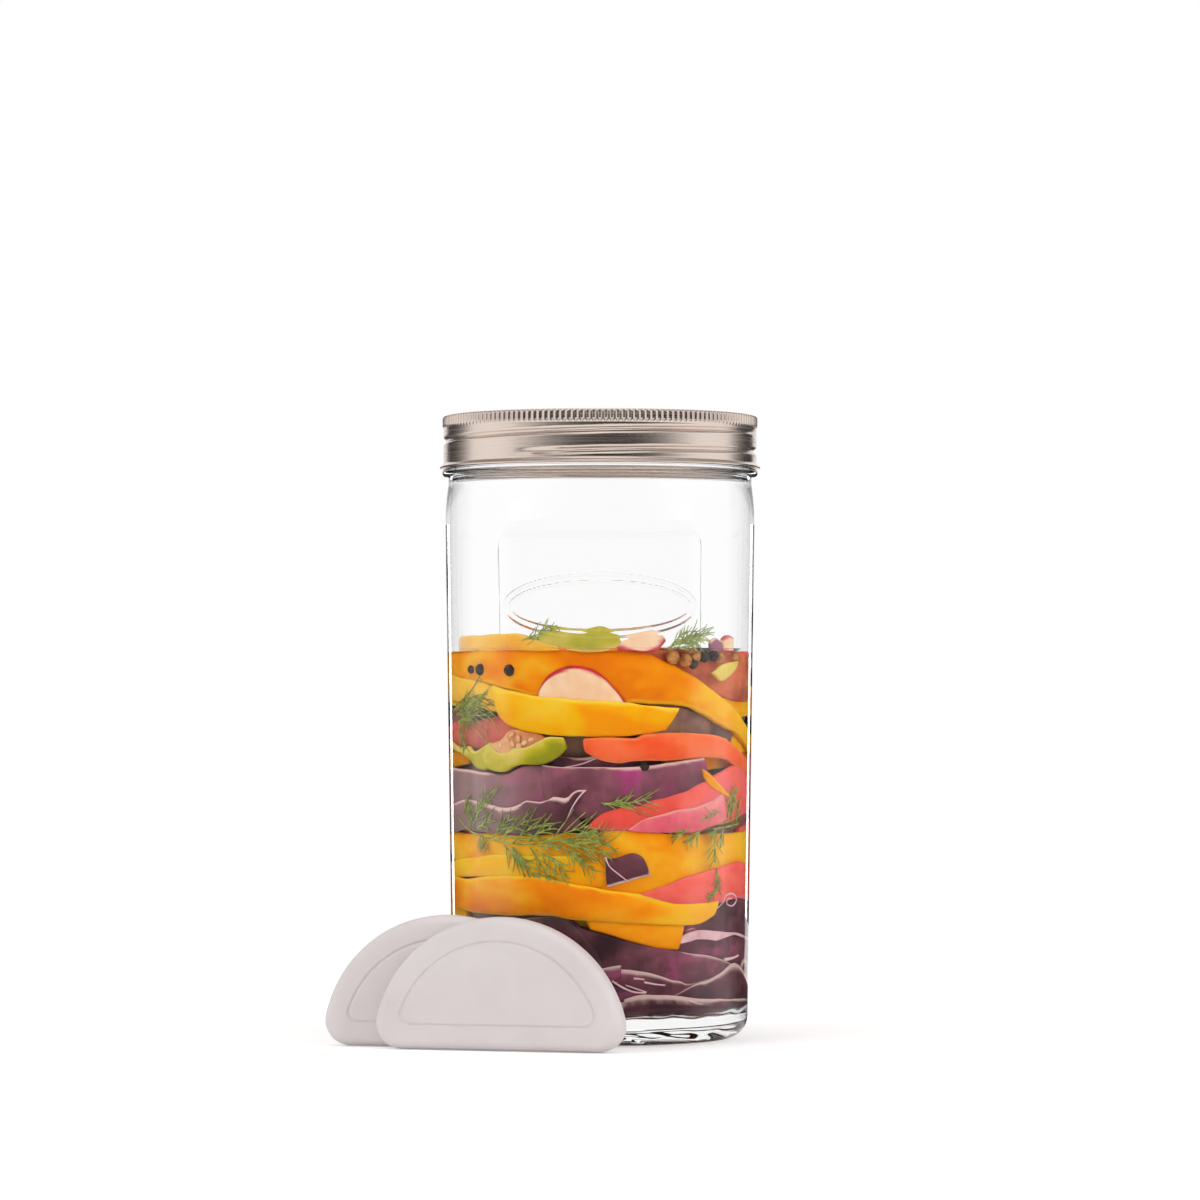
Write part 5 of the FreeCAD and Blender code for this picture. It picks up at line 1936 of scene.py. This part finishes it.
def floor_glow(tree, darkest, near, far):
    """Dark in the mirror of the glass, more so towards the camera, and white in brushed metal."""
    apart = axes(tree, world_spot(tree))
    lean = calc(tree, "ABSOLUTE", calc(tree, "DIVIDE", apart["X"], apart["Y"]))
    dark = graded(tree, lean, darkest, GLOSS_LIGHT, near, far, "SMOOTHSTEP")
    return emission(tree, graded(tree, mirrored(tree), 1.0, dark))


def level_sheet(left, right, front, back, height):
    return [(left, front, height), (right, front, height), (right, back, height), (left, back, height)]


def upright_sheet(near, far, depth, low, high):
    return [(near, depth, low), (far, depth, low), (far, depth, high), (near, depth, high)]


# Cards that only show in reflections. Each row: name, place, look and the values that the look takes

BAND_REACH = 2.6
BAND_SHEET = upright_sheet(-BAND_REACH, BAND_REACH, -0.9, 0.2, 0.5)
BAND_STOPS = ((0, 0.01), (0.08, 0.02), (0.16, 0.08), (0.28, 0.31), (0.5, 0.8), (1, 1.25))
BAND_MIDDLE = 0.14
GLASS_REACH = 3.4
GLASS_SHEET = upright_sheet(-GLASS_REACH, GLASS_REACH, -0.9, -0.02, 0.2)
GLASS_STOPS = ((0, 0.01), (0.5, 0.02), (0.7, 0.2), (1, 0.6))
TOP_REACH = 1.6
TOP_SHEET = level_sheet(-TOP_REACH, TOP_REACH, -TOP_REACH, TOP_REACH, 1.2)
TOP_STOPS = ((0, 1.15), (0.2, 1.0), (0.5, 0.35), (1, 0.2))
FLOOR_SHEET = level_sheet(-3.9, 3.9, 0.25, -3.9, 0.0004)
FLOOR_DARKEST = 0.01
FLOOR_LEAN = (1.1, 3.6)
CARDS = (
    ("band_card", BAND_SHEET, card_glow, BAND_STOPS, BAND_REACH, BAND_MIDDLE),
    ("glass_card", GLASS_SHEET, card_glow, GLASS_STOPS, GLASS_REACH),
    ("top_card", TOP_SHEET, card_glow, TOP_STOPS, TOP_REACH),
    ("floor_card", FLOOR_SHEET, floor_glow, FLOOR_DARKEST, *FLOOR_LEAN),
)

# Pairs of cards behind the jar. Each row: name, near and far side, depth, foot, top, look and its values

FLAG_LIGHT = 0.004
STRIP_LIGHT = 4.0
DARK_REACH = 0.8
DARK_STOPS = ((0.25, 0.02), (0.45, 0.06), (0.7, 0.35), (1, 0.8))
SIDE_CARDS = (
    ("side_flag", (0.05, 0.138, 0.25, 0.022, 0.165), emission, FLAG_LIGHT),
    ("side_strip", (0.138, 0.18, 0.25, 0.022, 0.165), mirror_glow, STRIP_LIGHT),
    ("dark_flag", (0.18, DARK_REACH, 0.25, -0.02, 0.34), card_glow, DARK_STOPS, DARK_REACH),
)
HIDDEN_FROM = ("camera", "diffuse", "transmission", "volume_scatter", "shadow")


def flat_sheet(name, corners, material):
    mesh = bpy.data.meshes.new(name)
    mesh.from_pydata(corners, [], [tuple(range(len(corners)))])
    mesh.materials.append(material)
    sheet = bpy.data.objects.new(name, mesh)
    bpy.context.scene.collection.objects.link(sheet)
    return sheet


def card(name, corners, material):
    sheet = flat_sheet(name, corners, material)
    for way in HIDDEN_FROM:
        setattr(sheet, f"visible_{way}", False)


def make_stage():
    floor = level_sheet(-FLOOR_HALF, FLOOR_HALF, -FLOOR_HALF, FLOOR_HALF, FLOOR_DROP)
    flat_sheet("studio_floor", floor, new_material("studio_floor", studio_floor))
    for name, corners, look, *values in CARDS:
        card(name, corners, new_material(name, look, *values))
    for name, (near, far, *rest), look, *values in SIDE_CARDS:
        material = new_material(name, look, *values)
        for side, word in ((-1, "left"), (1, "right")):
            card(f"{name}_{word}", upright_sheet(near * side, far * side, *rest), material)


def make_world():
    world = bpy.data.worlds.new("white_studio")
    bpy.context.scene.world = world
    world.use_nodes = True
    tree = world.node_tree
    tree.nodes.clear()
    strength = calc(tree, "MULTIPLY", studio_white(tree), graded(tree, mirrored(tree), 1.0, GLOSS_LIGHT))
    light = add(tree, "ShaderNodeBackground", {"Color": WHITE, "Strength": strength})
    add(tree, "ShaderNodeOutputWorld", {"Surface": light.outputs["Background"]})


# Lamps: name, place, size and power

LAMPS = (
    ("left_lamp", (-1.2, -0.8, 0.7), 0.9, 8.5),
    ("right_lamp", (1.2, -0.7, 0.6), 0.9, 9.0),
    ("top_lamp", (0.0, 0.1, 1.5), 1.2, 5.0),
)


def put(thing, spot):
    """Puts a lamp or the camera in the scene, turned towards the jar."""
    thing.location = spot
    thing.rotation_euler = (CAMERA_AIM - Vector(spot)).to_track_quat("-Z", "Y").to_euler()
    bpy.context.scene.collection.objects.link(thing)


def make_lamps():
    for name, spot, size, power in LAMPS:
        data = bpy.data.lights.new(name, "AREA")
        data.shape = "SQUARE"
        data.size = size
        data.energy = power
        lamp = bpy.data.objects.new(name, data)
        lamp.visible_glossy = False
        lamp.visible_transmission = False
        put(lamp, spot)


def make_camera():
    data = bpy.data.cameras.new("photo_camera")
    data.lens = CAMERA_LENS
    camera = bpy.data.objects.new("photo_camera", data)
    put(camera, CAMERA_PLACE)
    bpy.context.scene.camera = camera


make_jar()
make_brine()
make_band()
make_disc()
dress_nodes()
make_weight("half_moon_weight_front", "ceramic_weight_front", "front_weight")
make_weight("half_moon_weight_back", "ceramic_weight_back", "back_weight")
make_vegetables()
make_bed()
make_edges()
make_core()
make_fillers()
make_dill()
make_floating()
make_seeds()
make_stage()
make_world()
make_lamps()
make_camera()
bpy.context.scene.view_settings.view_transform = "Standard"
